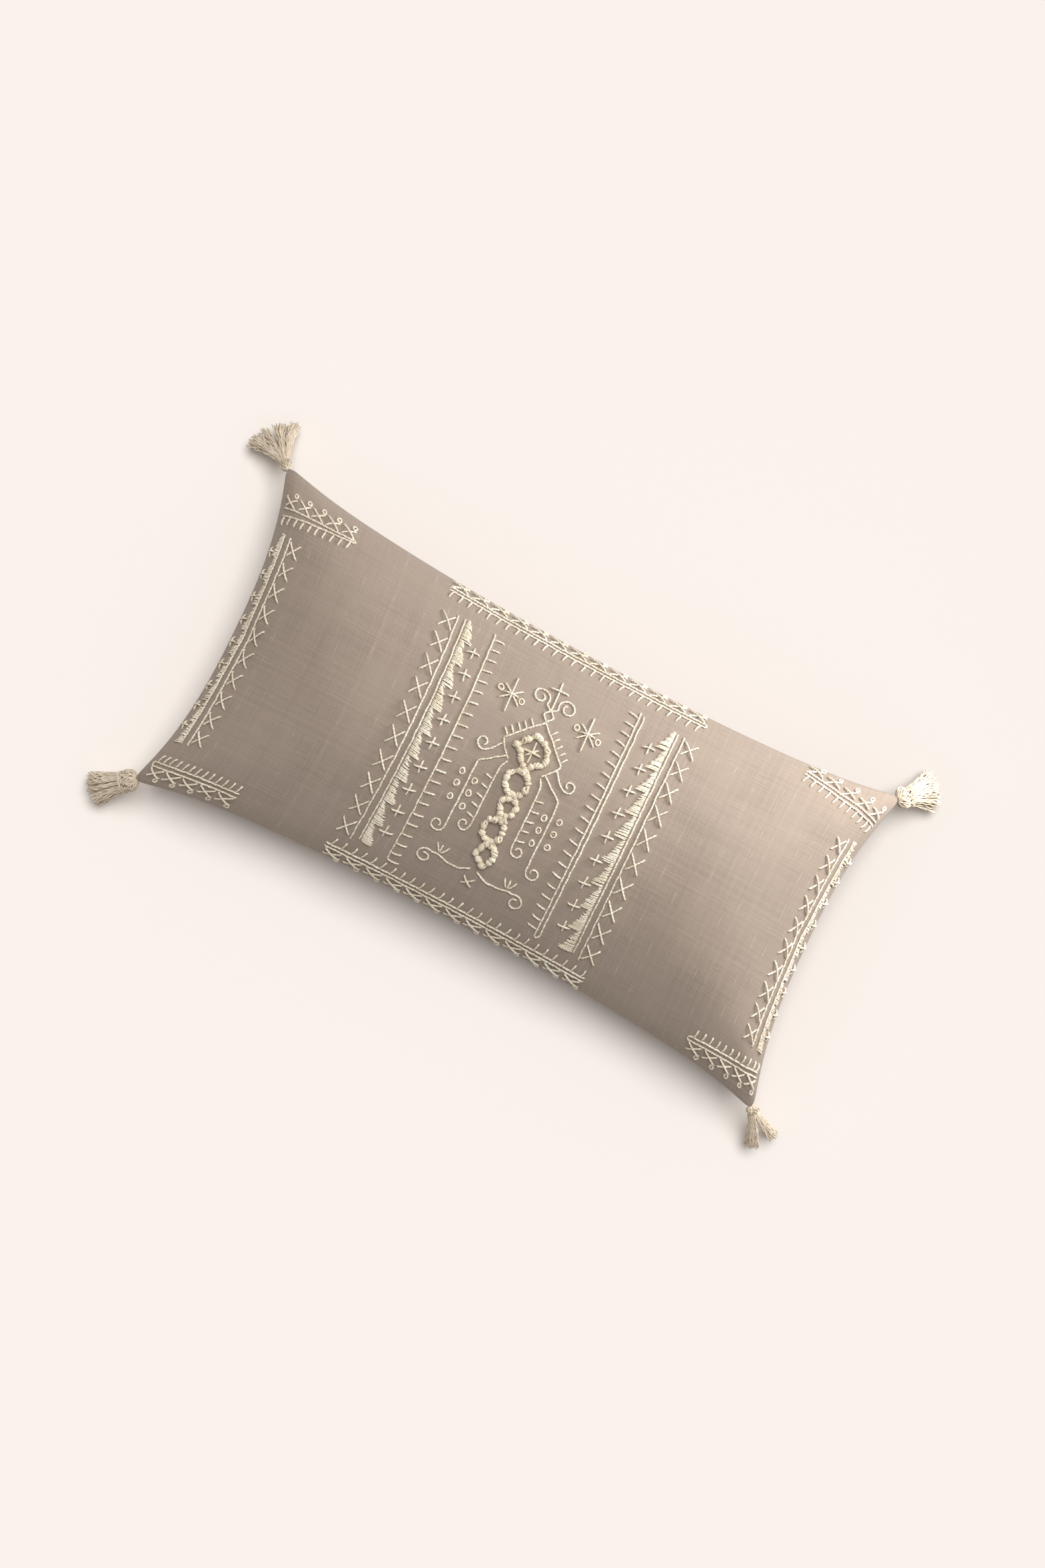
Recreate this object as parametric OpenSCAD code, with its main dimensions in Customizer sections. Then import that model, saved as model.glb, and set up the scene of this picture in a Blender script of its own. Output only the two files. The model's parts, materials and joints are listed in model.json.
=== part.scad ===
// A rectangular throw pillow lying on its back: a sewn cover with embroidery on the front,
// a hidden zip low on the back, a filled insert inside, and a cotton tassel at each corner.
// Units are millimetres. X runs along the pillow, Y across it, and Z goes up through it.
// The origin is on the surface that the pillow lies on, under its middle.

/* [Cover] */
// Length of one long side, from corner to corner
cover_length = 592; // [570:2:610]
// Length of one short side, from corner to corner
cover_width = 291; // [280:1:300]
// How far the filling draws in the middle of each short side
end_dip = 15; // [8:1:20]
// How far the filling draws in the middle of each long side
side_dip = 15; // [8:1:20]
// Height that the filling adds above the seam at the middle
crown = 65; // [55:1:70]
// Height of the seam above the surface, along the middle of the sides
seam_height = 55; // [50:1:58]
// How far the seam comes down at the corners
corner_droop = 20; // [15:1:22]
// Angle of the cloth where it leaves the seam, in degrees
edge_slope = 54.6; // [50:0.2:58]
// Length over which each end slopes down to its short seam
end_ramp = 133; // [110:1:150]
// Sideways slide of the cloth along X for each millimetre of Y
rack = 0.04; // [0:0.01:0.06]
// Thickness of the cover's cloth
cloth = 0.8; // [0.6:0.1:1]
// Half the thickness of the sewn edge, with all its layers
edge_half = 2.4; // [2.3:0.1:3]

/* [Insert] */
// Gap between one layer and the next
layer_gap = 0.3; // [0.2:0.05:0.35]
// Thickness of the insert's casing
casing = 0.5; // [0.4:0.1:0.6]

/* [Zip] */
// Length of the zip's opening
zip_length = 352; // [300:2:360]
// Distance of the zip from the pillow's middle line
zip_offset = 108; // [104:1:110]
// Width of the slot between the two panels
zip_slot = 5.4; // [5.4:0.1:6]
// Length of the pull tab
pull_length = 18; // [12:1:20]

/* [Tassels] */
// Length of a tassel from its loop to the ends of its strands
tassel_length = 45; // [40:1:45]
// Radius of the round head
head_radius = 5.5; // [4.5:0.1:5.6]
// Half the width of the skirt at its ends
skirt_half_width = 15; // [11:1:16]
// Half the thickness of the skirt
skirt_half_depth = 7; // [5:1:7]
// How far a tassel slopes down from its corner, in degrees
tassel_slope = 38; // [34:1:38]
// Angle of a tassel from the pillow's length, in degrees
tassel_angle = 40; // [30:1:50]

/* [Embroidery] */
// Radius of the embroidery thread
thread = 0.8; // [0.6:0.1:0.9]
// Longest single stitch in a line
stitch_length = 12; // [8:1:14]
// Radius of the knotted cord in the middle
cord_radius = 2.4; // [2:0.1:2.6]

/* [Hidden] */
$fn = 24;
half_length = cover_length / 2;
half_width = cover_width / 2;

// The cloth before it is filled, from the middle to its seams.
flat_half_length = 305;
flat_half_width = 152.5;

// Divisions of each panel along and across.
columns = 28;
sheet_rows = concat([-1, -0.95, -0.83, -0.705, -0.6], [for (i = [4:14]) -1 + i / 7]);

// The zip's plane.
zip_tilt = 42.6;
zip_height = 30;
zip_half = zip_length / 2;
zip_flat = 20;
zip_fade = 10;
zip_room = 6;
row_inner = 0.9;
row_outer = 2.3;
hinge_height = 3.4;
slider_start = -zip_half + 9;

// The loop at each corner, measured out from the corner's tip.
bar_distance = 2.4;
bar_radius = 0.5;
bar_half_height = 1.3;
loop_radius = 1.5;
loop_straight = 1.8;
loop_wire = 0.5;
eye_radius = 1.6;
eye_wire = 0.45;
head_distance = 7.4;
neck_start = 13.1;
neck_radius = 3.1;
binding_wire = 1.2;

// Embroidery sits this far above the cloth.
lift = 0.65;
front_layer_step = 2 * thread + 0.25;

// The two faces of the cover stay this far apart at the seam.
seam_gap = 0.2;

cloth_colour = [0.62, 0.55, 0.49];
thread_colour = [0.90, 0.86, 0.78];
insert_colour = [0.95, 0.95, 0.93];
tape_colour = [0.58, 0.52, 0.46];
metal_colour = [0.66, 0.62, 0.52];

// ---------------------------------------------------------------- the filled shape

function lens(t) = (sqrt(1 - pow(t * sin(edge_slope), 2)) - cos(edge_slope)) / (1 - cos(edge_slope));

function ramp_part(u) = max(0, (abs(u) * half_length - half_length + end_ramp) / end_ramp);

function bulge(u, v) = lens(v) * lens(ramp_part(u));

// Plan position of a point of the cloth, drawn in by inset from the cover's outline.
function plan_y(u, v, inset) = v * (half_width - inset - side_dip * (1 - pow(abs(u), 3)));

function plan_x(u, v, inset) =
    u * (half_length - inset - end_dip * (1 - pow(abs(v), 3))) - rack * plan_y(u, v, inset);

// Height of the seam's level at a place in plan; it comes down at the corners.
function seam_z(x, y) = seam_height
    - corner_droop * pow(abs(x + rack * y) / half_length, 9) * pow(abs(y) / half_width, 4);

// The base turns flat smoothly where it meets the surface.
function flattened(z, soft) = z < -soft ? 0 : z > soft ? z : pow(z + soft, 2) / (4 * soft);

// The panel round the zip is held straight and flat.
function zip_hold(x, y, v) = abs(v) > 0.99 ? 0 :
    max(0, min(1, (zip_half + 36 - abs(x)) / zip_fade))
    * max(0, min(1, (zip_flat + zip_fade - abs(y + zip_offset)) / zip_fade));

function zip_plane(y) = zip_height - (y + zip_offset) * tan(zip_tilt);

function front_point(u, v, inset) =
    let (x = plan_x(u, v, inset), y = plan_y(u, v, inset))
    [x, y, seam_z(x, y) + edge_half - inset + crown * bulge(u, v)];

function back_point(u, v, inset, room) =
    let (x = plan_x(u, v, inset),
         y = plan_y(u, v, inset),
         free = flattened(seam_z(x, y) - edge_half - crown * bulge(u, v), 6) + inset,
         held = zip_plane(y) + inset / cos(zip_tilt) + room,
         hold = zip_hold(x, y, v))
    [x, y, free + (held - free) * hold];

// ---------------------------------------------------------------- panels

function sheet_points(rows, inset, front, room) = [
    for (v = rows) for (i = [0:columns])
        let (u = -1 + 2 * i / columns)
        front ? front_point(u, v, inset) : back_point(u, v, inset, room)
];

// Triangles of a sheet, with the first point at the given place in the list.
function sheet_faces(rows, first, flip) = [
    for (j = [0:len(rows) - 2]) for (i = [0:columns - 1]) for (half = [0, 1])
        let (a = first + j * (columns + 1) + i,
             b = a + 1,
             c = a + columns + 2,
             d = a + columns + 1,
             face = half == 0 ? [a, c, b] : [a, d, c])
        flip ? [face[0], face[2], face[1]] : face
];

// Points round the edge of a sheet, in order.
function rim(rows, first) =
    let (last = len(rows) - 1, wide = columns + 1)
    concat(
        [for (i = [0:columns]) first + i],
        [for (j = [1:last]) first + j * wide + columns],
        [for (i = [1:columns]) first + last * wide + columns - i],
        [for (j = [1:last - 1]) first + (last - j) * wide]
    );

// A closed strip of triangles from one ring of points to the next.
function strip_faces(ring, next_ring, flip) = [
    for (k = [0:len(ring) - 1]) for (half = [0, 1])
        let (n = (k + 1) % len(ring),
             face = half == 0 ? [ring[k], ring[n], next_ring[n]]
                              : [ring[k], next_ring[n], next_ring[k]])
        flip ? [face[0], face[2], face[1]] : face
];

// Where the edge of a sheet comes down, or up, to the seam's level.
function foot_points(sheet, edge, side) = [
    for (i = edge)
        [sheet[i][0], sheet[i][1], seam_z(sheet[i][0], sheet[i][1]) + side * seam_gap / 2]
];

// A shell of cloth between two insets; the front one domes up, the back one down.
module shell(rows, outer_inset, inner_inset, front, outer_room, inner_room) {
    count = len(rows) * (columns + 1);
    edge = rim(rows, 0);
    edge_count = len(edge);
    side = front ? 1 : -1;
    outer = sheet_points(rows, outer_inset, front, outer_room);
    inner = sheet_points(rows, inner_inset, front, inner_room);
    outer_foot = [for (k = [0:edge_count - 1]) 2 * count + k];
    inner_foot = [for (k = [0:edge_count - 1]) 2 * count + edge_count + k];
    polyhedron(
        points = concat(outer, inner, foot_points(outer, edge, side), foot_points(inner, edge, side)),
        faces = concat(
            sheet_faces(rows, 0, !front),
            sheet_faces(rows, count, front),
            strip_faces(edge, outer_foot, !front),
            strip_faces(outer_foot, inner_foot, !front),
            strip_faces(inner_foot, rim(rows, count), !front)
        )
    );
}

// Everything on the seam's side of a plane square to the zip's panel, through its middle.
module below_zip(shift) {
    translate([0, -zip_offset, zip_height])
        rotate([180 - zip_tilt, 0, 0])
            translate([-cover_length, shift, -cover_width])
                cube([2 * cover_length, cover_width, 2 * cover_width]);
}

module zip_frame() {
    translate([0, -zip_offset, zip_height]) rotate([180 - zip_tilt, 0, 0]) children();
}

module slot_cut() {
    zip_frame() translate([-zip_half, -zip_slot / 2, -6]) cube([zip_length, zip_slot, 12]);
}

module back_shell() {
    shell(sheet_rows, 0, cloth, false, 0, 0);
}

module front_panel() {
    color(cloth_colour) shell(sheet_rows, 0, cloth, true, 0, 0);
}

module back_panel() {
    color(cloth_colour) difference() {
        back_shell();
        below_zip(-0.1);
        slot_cut();
    }
}

module back_placket() {
    color(cloth_colour) difference() {
        intersection() {
            back_shell();
            below_zip(0.1);
        }
        slot_cut();
    }
}

// ---------------------------------------------------------------- insert

insert_outer = cloth + layer_gap;
insert_inner = insert_outer + casing;
filling_outer = insert_inner + layer_gap;

module insert_front() {
    color(insert_colour) shell(sheet_rows, insert_outer, insert_inner, true, 0, 0);
}

module insert_back() {
    color(insert_colour)
        shell(sheet_rows, insert_outer, insert_inner, false, zip_room, zip_room);
}

// One closed body of filling, from its own front to its own back.
module filling() {
    count = len(sheet_rows) * (columns + 1);
    front = sheet_points(sheet_rows, filling_outer, true, 0);
    back = sheet_points(sheet_rows, filling_outer, false, zip_room);
    color(insert_colour) polyhedron(
        points = concat(front, back),
        faces = concat(
            sheet_faces(sheet_rows, 0, false),
            sheet_faces(sheet_rows, count, true),
            strip_faces(rim(sheet_rows, 0), rim(sheet_rows, count), false)
        )
    );
}

// ---------------------------------------------------------------- zip

module zip_tape(side) {
    color(tape_colour) zip_frame()
        translate([-zip_half - 6, side > 0 ? row_inner + 0.4 : -row_inner - 0.4 - 11.5, -2])
            cube([zip_length + 12, 11.5, 0.65]);
}

module zip_teeth(side) {
    color(tape_colour) zip_frame()
        translate([-zip_half + 3, side > 0 ? row_inner : -row_outer, -1.25])
            cube([zip_length - 6, row_outer - row_inner, 1.5]);
}

module zip_stop(end) {
    color(metal_colour) zip_frame()
        translate([end * (zip_half - 1.4) - 1, -row_outer, -1.25])
            cube([2, 2 * row_outer, 1.7]);
}

module zip_slider() {
    color(metal_colour) zip_frame() translate([slider_start, 0, 0]) {
        translate([-4.5, -3.4, 0.6]) cube([9, 6.8, 1]);
        translate([-4.5, -3.4, -3.6]) cube([9, 6.8, 1]);
        translate([-1.5, -0.5, -2.7]) cube([3, 1, 3.4]);
        for (side = [-1, 1])
            translate([-1.3, side * 2.9 - 0.4, 1.5]) cube([2.6, 0.8, hinge_height - 0.3]);
        translate([0, 3, hinge_height]) rotate([90, 0, 0]) cylinder(h = 6, r = 0.6);
    }
}

module zip_pull() {
    color(metal_colour) zip_frame() translate([slider_start, 0, hinge_height]) {
        difference() {
            union() {
                translate([0, 2.2, 0]) rotate([90, 0, 0]) cylinder(h = 4.4, r = 1.35);
                translate([-0.6, -2.2, 1]) cube([1.2, 4.4, pull_length - 1]);
            }
            translate([0, 3, 0]) rotate([90, 0, 0]) cylinder(h = 6, r = 0.65);
            translate([-1, 0, pull_length - 4]) rotate([0, 90, 0]) cylinder(h = 2, r = 1.1);
        }
    }
}

// ---------------------------------------------------------------- tassels

// Corners as [left or right, front view's top or bottom].
top_left = [-1, 1];
top_right = [1, 1];
bottom_left = [-1, -1];
bottom_right = [1, -1];

function corner_tip(corner) = [
    plan_x(corner[0], corner[1], 0),
    plan_y(corner[0], corner[1], 0),
    seam_height - corner_droop
];

function corner_turn(corner) =
    corner[0] > 0 ? corner[1] * tassel_angle : 180 - corner[1] * tassel_angle;

// X points straight out of the corner.
module corner_frame(corner) {
    translate(corner_tip(corner)) rotate([0, 0, corner_turn(corner)]) children();
}

module tassel_frame(corner) {
    corner_frame(corner)
        translate([bar_distance + loop_radius + loop_straight, 0, 0])
            rotate([0, tassel_slope, 0])
                children();
}

// A short bar of thread sewn to the corner, which the tassel's loop runs round.
module anchor(corner) {
    color(thread_colour) corner_frame(corner) {
        translate([bar_distance, 0, -bar_half_height])
            cylinder(h = 2 * bar_half_height, r = bar_radius);
        for (side = [-1, 1])
            translate([-0.4, 0, side * bar_half_height])
                rotate([0, 90, 0]) cylinder(h = bar_distance + 0.4, r = bar_radius);
    }
}

// The hanging loop, one end round the bar and the other through the head's eye.
module hanging_loop(corner) {
    color(thread_colour) corner_frame(corner) translate([bar_distance, 0, 0]) {
        rotate([0, 0, 90]) loop_end();
        translate([loop_straight, 0, 0]) rotate([0, 0, -90]) loop_end();
        for (side = [-1, 1])
            translate([0, side * loop_radius, 0])
                rotate([0, 90, 0]) cylinder(h = loop_straight, r = loop_wire);
    }
}

module loop_end() {
    rotate_extrude(angle = 180) translate([loop_radius, 0]) circle(r = loop_wire);
}

module head(corner) {
    color(thread_colour) tassel_frame(corner) {
        rotate([90, 0, 0]) rotate_extrude() translate([eye_radius, 0]) circle(r = eye_wire);
        translate([head_distance, 0, 0]) sphere(r = head_radius);
    }
}

module binding(corner) {
    color(thread_colour) tassel_frame(corner)
        translate([neck_start + 1.5, 0, 0]) rotate([0, 90, 0])
            rotate_extrude() translate([neck_radius + 0.2 + binding_wire, 0]) circle(r = binding_wire);
}

// The skirt: a cone of strands lying flattened, with its ends on an arc.
module skirt(corner) {
    color(thread_colour) tassel_frame(corner) intersection() {
        rotate([0, 90, 0]) union() {
            translate([0, 0, neck_start]) cylinder(h = 3.4, r = neck_radius);
            translate([0, 0, neck_start + 3.2])
                cylinder(h = tassel_length, r1 = neck_radius,
                         r2 = neck_radius + (skirt_half_width - neck_radius) * tassel_length
                              / (tassel_length - neck_start - 3.2));
        }
        translate([0, -2 * skirt_half_width, -skirt_half_depth])
            cube([tassel_length, 4 * skirt_half_width, 2 * skirt_half_depth]);
        sphere(r = tassel_length);
    }
}

// ---------------------------------------------------------------- embroidery

// Where a point of the flat cloth comes to on the filled front.
bow_across = flat_half_width / (edge_slope * PI / 180);
end_bow = end_ramp / sin(edge_slope);
flat_run = flat_half_length - end_bow * edge_slope * PI / 180;
drawn_run = half_length - end_dip - end_ramp;

function cloth_v(t) = sin(t / bow_across * 180 / PI) / sin(edge_slope);

function cloth_x(s) = s <= flat_run ? s * drawn_run / flat_run :
    drawn_run + end_bow * sin((s - flat_run) / end_bow * 180 / PI);

function cloth_u(s) = sign(s) * cloth_x(abs(s)) / (half_length - end_dip);

function unit(a) = a / norm(a);

function cloth_point(s, t) = front_point(cloth_u(s), cloth_v(t), 0);

function cloth_right(s, t) = unit(cloth_point(s + 1, t) - cloth_point(s - 1, t));

function cloth_out(s, t) =
    unit(cross(cloth_right(s, t), cloth_point(s, t + 1) - cloth_point(s, t - 1)));

function above(s, t, height) = cloth_point(s, t) + height * cloth_out(s, t);

function thread_height(layer) = lift + thread + layer * front_layer_step;

module rod(from, to, radius) {
    run = to - from;
    translate(from)
        rotate([0, acos(run[2] / norm(run)), atan2(run[1], run[0])])
            cylinder(h = norm(run), r = radius);
}

// One straight stitch between two places on the cloth.
module stitch(from, to, layer = 0) {
    rod(above(from[0], from[1], thread_height(layer)),
        above(to[0], to[1], thread_height(layer)), thread);
}

// A line of stitches along a path, with a small gap between one stitch and the next.
module stitch_line(path) {
    for (k = [0:len(path) - 2]) {
        run = path[k + 1] - path[k];
        count = ceil(norm(run) / stitch_length);
        gap = 0.9 * unit(run);
        for (i = [0:count - 1])
            stitch(path[k] + run * i / count + gap, path[k] + run * (i + 1) / count - gap);
    }
}

module cross_stitch(s, t, wide, high) {
    stitch([s - wide / 2, t - high / 2], [s + wide / 2, t + high / 2], 0);
    stitch([s - wide / 2, t + high / 2], [s + wide / 2, t - high / 2], 1);
}

module plus_stitch(s, t, size) {
    stitch([s, t - size / 2], [s, t + size / 2], 0);
    stitch([s - size / 2, t], [s + size / 2, t], 1);
}

module on_cloth(s, t, height) {
    x = cloth_right(s, t);
    z = cloth_out(s, t);
    y = cross(z, x);
    p = above(s, t, height);
    multmatrix([
        [x[0], y[0], z[0], p[0]],
        [x[1], y[1], z[1], p[1]],
        [x[2], y[2], z[2], p[2]],
        [0, 0, 0, 1]
    ]) children();
}

module knot_ring(s, t, radius) {
    on_cloth(s, t, thread_height(0))
        rotate_extrude() translate([radius, 0]) circle(r = thread);
}

// A tooth of satin stitch: it grows from its root to its tip and then steps back.
module satin_tooth(s, t, deep, high) {
    on_cloth(s, t, lift + 0.3) linear_extrude(height = 1.4)
        polygon([[0, high / 2], [0, -high / 2], [deep, -high / 2], [deep * 0.4, high / 2]]);
}

// Places from one value to another, both included.
function spaced(from, to, count) = [for (i = [0:count - 1]) from + (to - from) * i / (count - 1)];

column_top = 106;
column_bottom = -114;

module comb(s, side, foot) {
    color(thread_colour) {
        stitch_line([[s, column_top + 2], [s, column_bottom]]);
        for (t = spaced(column_top - 4, column_bottom + 8, 21))
            stitch([s + side * (2 * thread + 0.3), t], [s + side * 10, t]);
        if (foot) stitch([s + side * (2 * thread + 0.3), column_bottom], [s + side * 11, column_bottom]);
    }
}

module satin_band(s, side, from, to, count, deep) {
    color(thread_colour) {
        high = (from - to) / count;
        stitch_line([[s, from], [s, to]]);
        for (i = [0:count - 1])
            satin_tooth(s + side * (thread + 0.4), from - high * (i + 0.5), side * deep, high - 0.8);
    }
}

module small_crosses(s, from, to, count, size) {
    color(thread_colour) for (t = spaced(from, to, count)) plus_stitch(s, t, size);
}

// A line with a column of cross stitches beside it.
module lattice(s, side, from, to, count, wide) {
    color(thread_colour) {
        high = (from - to) / count;
        stitch_line([[s, from], [s, to]]);
        for (i = [0:count - 1])
            cross_stitch(s + side * (wide / 2 + 2.2), from - high * (i + 0.5), wide, high * 0.68);
    }
}

// Two lines with cross stitches and ring knots on the outer side, and ticks on the inner side.
module band(from, to, gap_from, gap_to, out, crosses, ticks) {
    color(thread_colour) {
        inner_from = from - [0, out * gap_from];
        inner_to = to - [0, out * gap_to];
        stitch_line([from, to]);
        stitch_line([inner_from, inner_to]);
        for (i = [0:crosses - 1]) {
            place = from + (to - from) * (i + 0.5) / crosses;
            cross_stitch(place[0], place[1] + out * 7, 0.72 * (to[0] - from[0]) / crosses, 8.5);
            knot_ring(place[0], place[1] + out * 14.6, 1.7);
        }
        for (i = [0:ticks - 1]) {
            place = inner_from + (inner_to - inner_from) * (i + 0.5) / ticks;
            stitch(place - [0, out * (2 * thread + 0.3)], place - [1.5, out * 9]);
        }
    }
}

// The medallion's middle line.
medallion_s = -9;

function medallion(side, across, up) = [medallion_s + side * across, up];

// A line that curls into a scroll, turning by the given angle with a falling radius.
function scroll(centre, radius, start, turn, steps) = [
    for (i = [0:steps])
        centre + radius * (1 - 0.5 * i / steps)
            * [cos(start + turn * i / steps), sin(start + turn * i / steps)]
];

function mirrored(side, path) = [for (p = path) medallion(side, p[0], p[1])];

module medallion_lines() {
    color(thread_colour) {
        stitch([medallion_s, 68], [medallion_s, 97]);
        stitch([medallion_s - 8, 87], [medallion_s + 8, 87], 1);
        for (side = [-1, 1]) {
            stitch_line(mirrored(side, scroll([11, 75], 6.5, 165, -330, 6)));
            stitch_line(mirrored(side, [[2, 65], [5, 61], [2, 57]]));
            stitch_line(mirrored(side, [[2.5, 53], [27, 27]]));
            for (i = [0:4])
                stitch(medallion(side, 8.5 + 4.4 * i, 51.5 - 4.6 * i),
                       medallion(side, 13.5 + 4.4 * i, 58.5 - 4.6 * i));
            stitch_line(mirrored(side, [[25, 24.5], [16, 14.5]]));
            stitch_line(mirrored(side, [[26, 20.5], [34, 12.5]]));
            stitch_line(mirrored(side, scroll([39.5, 14.5], 5, 215, 290, 5)));
            stitch_line(mirrored(side, [[19, 14], [37, 0], [38.5, -12], [38.5, -60]]));
            stitch_line(mirrored(side, scroll([44, -62], 5, 190, 290, 5)));
            stitch_line(mirrored(side, [[15.5, 11], [19, 4], [19.5, -10], [19.5, -50]]));
            stitch_line(mirrored(side, scroll([24.5, -52], 4.5, 190, 290, 5)));
            for (i = [0:4])
                stitch(medallion(side, 21.6, -8 - 9 * i), medallion(side, 28, -8 - 9 * i));
            stitch_line(mirrored(side, [[4, -85], [13, -90], [25, -89], [32, -87.5]]));
            for (lean = [-1, 0, 1])
                stitch(medallion(side, 32 + 0.9 * lean, -83.8), medallion(side, 32 + 5 * lean, -77));
            stitch_line(mirrored(side, scroll([40, -92], 5.5, 150, 290, 5)));
        }
        cross_stitch(medallion_s, -96, 9, 7);
    }
}

module medallion_rings() {
    color(thread_colour) for (side = [-1, 1]) {
        for (t = [-17, -28, -40]) knot_ring(medallion_s + side * 33, t, 2);
        for (t = [-14, -25, -37]) knot_ring(medallion_s + side * 46, t, 2);
    }
}

module medallion_stars() {
    color(thread_colour) for (side = [-1, 1]) {
        s = medallion_s + side * 36;
        stitch([s, 46], [s, 80], 1);
        for (turn = [45, 135, 225, 315])
            stitch([s + 2.4 * cos(turn), 63 + 2.4 * sin(turn)],
                   [s + 12 * cos(turn), 63 + 12 * sin(turn)], 0);
        for (flank = [-1, 1]) knot_ring(s + flank * 9, 63, 2);
    }
}

// Loops of thick knotted cord, as short thick turns laid round an oval or a diamond.
module cord_loop(centre, wide, high, knots, pointed) {
    for (k = [0:knots - 1]) {
        a = 360 * (k + 0.5) / knots;
        b = 360 * (k + 0.5) / knots + 360 / knots * 0.55;
        from = cord_place(centre, wide, high, a, pointed);
        to = cord_place(centre, wide, high, b, pointed);
        rod(above(from[0], from[1], lift + cord_radius),
            above(to[0], to[1], lift + cord_radius), cord_radius);
    }
}

function cord_place(centre, wide, high, turn, pointed) =
    let (c = cos(turn), s = sin(turn), k = pointed ? 1 / (abs(c) + abs(s)) : 1)
    centre + [wide * c * k, high * s * k];

module medallion_cord() {
    color(thread_colour) {
        cord_loop([medallion_s, 26], 15.5, 16, 10, true);
        stitch([medallion_s, 15], [medallion_s, 37]);
        stitch([medallion_s - 9, 26], [medallion_s + 9, 26], 1);
        cord_loop([medallion_s + 0.5, -3], 9.5, 7.5, 6, false);
        cord_loop([medallion_s + 1, -25], 8.5, 7, 6, false);
        cord_loop([medallion_s + 1.5, -47], 9, 8, 6, false);
        cord_loop([medallion_s + 1.5, -70], 9, 8, 6, false);
    }
}

// Columns and borders, from the left end to the right end.
module left_lattice() { lattice(-111, -1, column_top, column_bottom, 10, 11.5); }
module left_satin() { satin_band(-104.5, 1, column_top, column_bottom + 4, 10, 8.5); }
module left_crosses() { small_crosses(-87.5, 79, -91, 9, 11); }
module left_comb() { comb(-76.8, 1, true); }
module right_comb() {
    comb(59.7, -1, false);
    color(thread_colour) stitch_line([[63.6, column_top], [63.6, column_bottom]]);
}
module right_crosses() { small_crosses(78, 79, -91, 9, 11); }
module right_satin() { satin_band(95, -1, column_top, column_bottom + 4, 10, 8.5); }
module right_lattice() { lattice(101, 1, column_top, column_bottom, 10, 11.5); }
module top_border() { band([-126, 131.5], [113, 131.5], 4, 4, 1, 13, 27); }
module bottom_border() { band([-126, -131.5], [113, -131.5], 4.5, 4.5, -1, 13, 27); }
module end_border(side) {
    satin_band(side * 283, side, 88, -98, 9, 5);
    lattice(side * 276, -side, 88, -98, 10, 10);
    small_crosses(side * 295, 70, -82, 9, 6.5);
}
module left_end_border() { end_border(-1); }
module right_end_border() { end_border(1); }
module top_left_band() { band([-292, 108], [-214, 116], 7, 2.6, 1, 5, 10); }
module top_right_band() { band([206, 130], [290, 112], 4.5, 4.5, 1, 5, 11); }
module bottom_left_band() { band([-292, -126], [-208, -126], 4.5, 4.5, -1, 5, 13); }
module bottom_right_band() { band([212, -127], [292, -119], 4.5, 4.5, -1, 5, 11); }

// ---------------------------------------------------------------- the assembly

front_panel();
back_panel();
back_placket();
insert_front();
insert_back();
filling();
zip_tape(-1);  // zip_tape_upper
zip_tape(1);  // zip_tape_lower
zip_teeth(-1);  // zip_teeth_upper
zip_teeth(1);  // zip_teeth_lower
zip_stop(-1);  // zip_stop_closed
zip_stop(1);  // zip_stop_open
zip_slider();
zip_pull();
anchor(top_left);  // top_left_anchor
hanging_loop(top_left);  // top_left_loop
head(top_left);  // top_left_head
binding(top_left);  // top_left_binding
skirt(top_left);  // top_left_skirt
anchor(top_right);  // top_right_anchor
hanging_loop(top_right);  // top_right_loop
head(top_right);  // top_right_head
binding(top_right);  // top_right_binding
skirt(top_right);  // top_right_skirt
anchor(bottom_left);  // bottom_left_anchor
hanging_loop(bottom_left);  // bottom_left_loop
head(bottom_left);  // bottom_left_head
binding(bottom_left);  // bottom_left_binding
skirt(bottom_left);  // bottom_left_skirt
anchor(bottom_right);  // bottom_right_anchor
hanging_loop(bottom_right);  // bottom_right_loop
head(bottom_right);  // bottom_right_head
binding(bottom_right);  // bottom_right_binding
skirt(bottom_right);  // bottom_right_skirt
medallion_cord();
medallion_lines();
medallion_rings();
medallion_stars();
left_comb();
left_satin();
left_crosses();
left_lattice();
right_comb();
right_satin();
right_crosses();
right_lattice();
top_border();
bottom_border();
left_end_border();
right_end_border();
top_left_band();
top_right_band();
bottom_left_band();
bottom_right_band();
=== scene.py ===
# %% [markdown]
# # A lumbar throw pillow with couched embroidery and four tassels
# The pillow is a linen cover over a soft insert, closed by a zip in the back.
# Thick cream thread is worked over the front, and a cotton tassel hangs from each corner.
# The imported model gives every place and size. Each step here makes one piece of it in finer detail.

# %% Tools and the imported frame
import json
import math
import random

import bmesh
import bpy
import numpy as np
from mathutils import Matrix, Vector, noise

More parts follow.
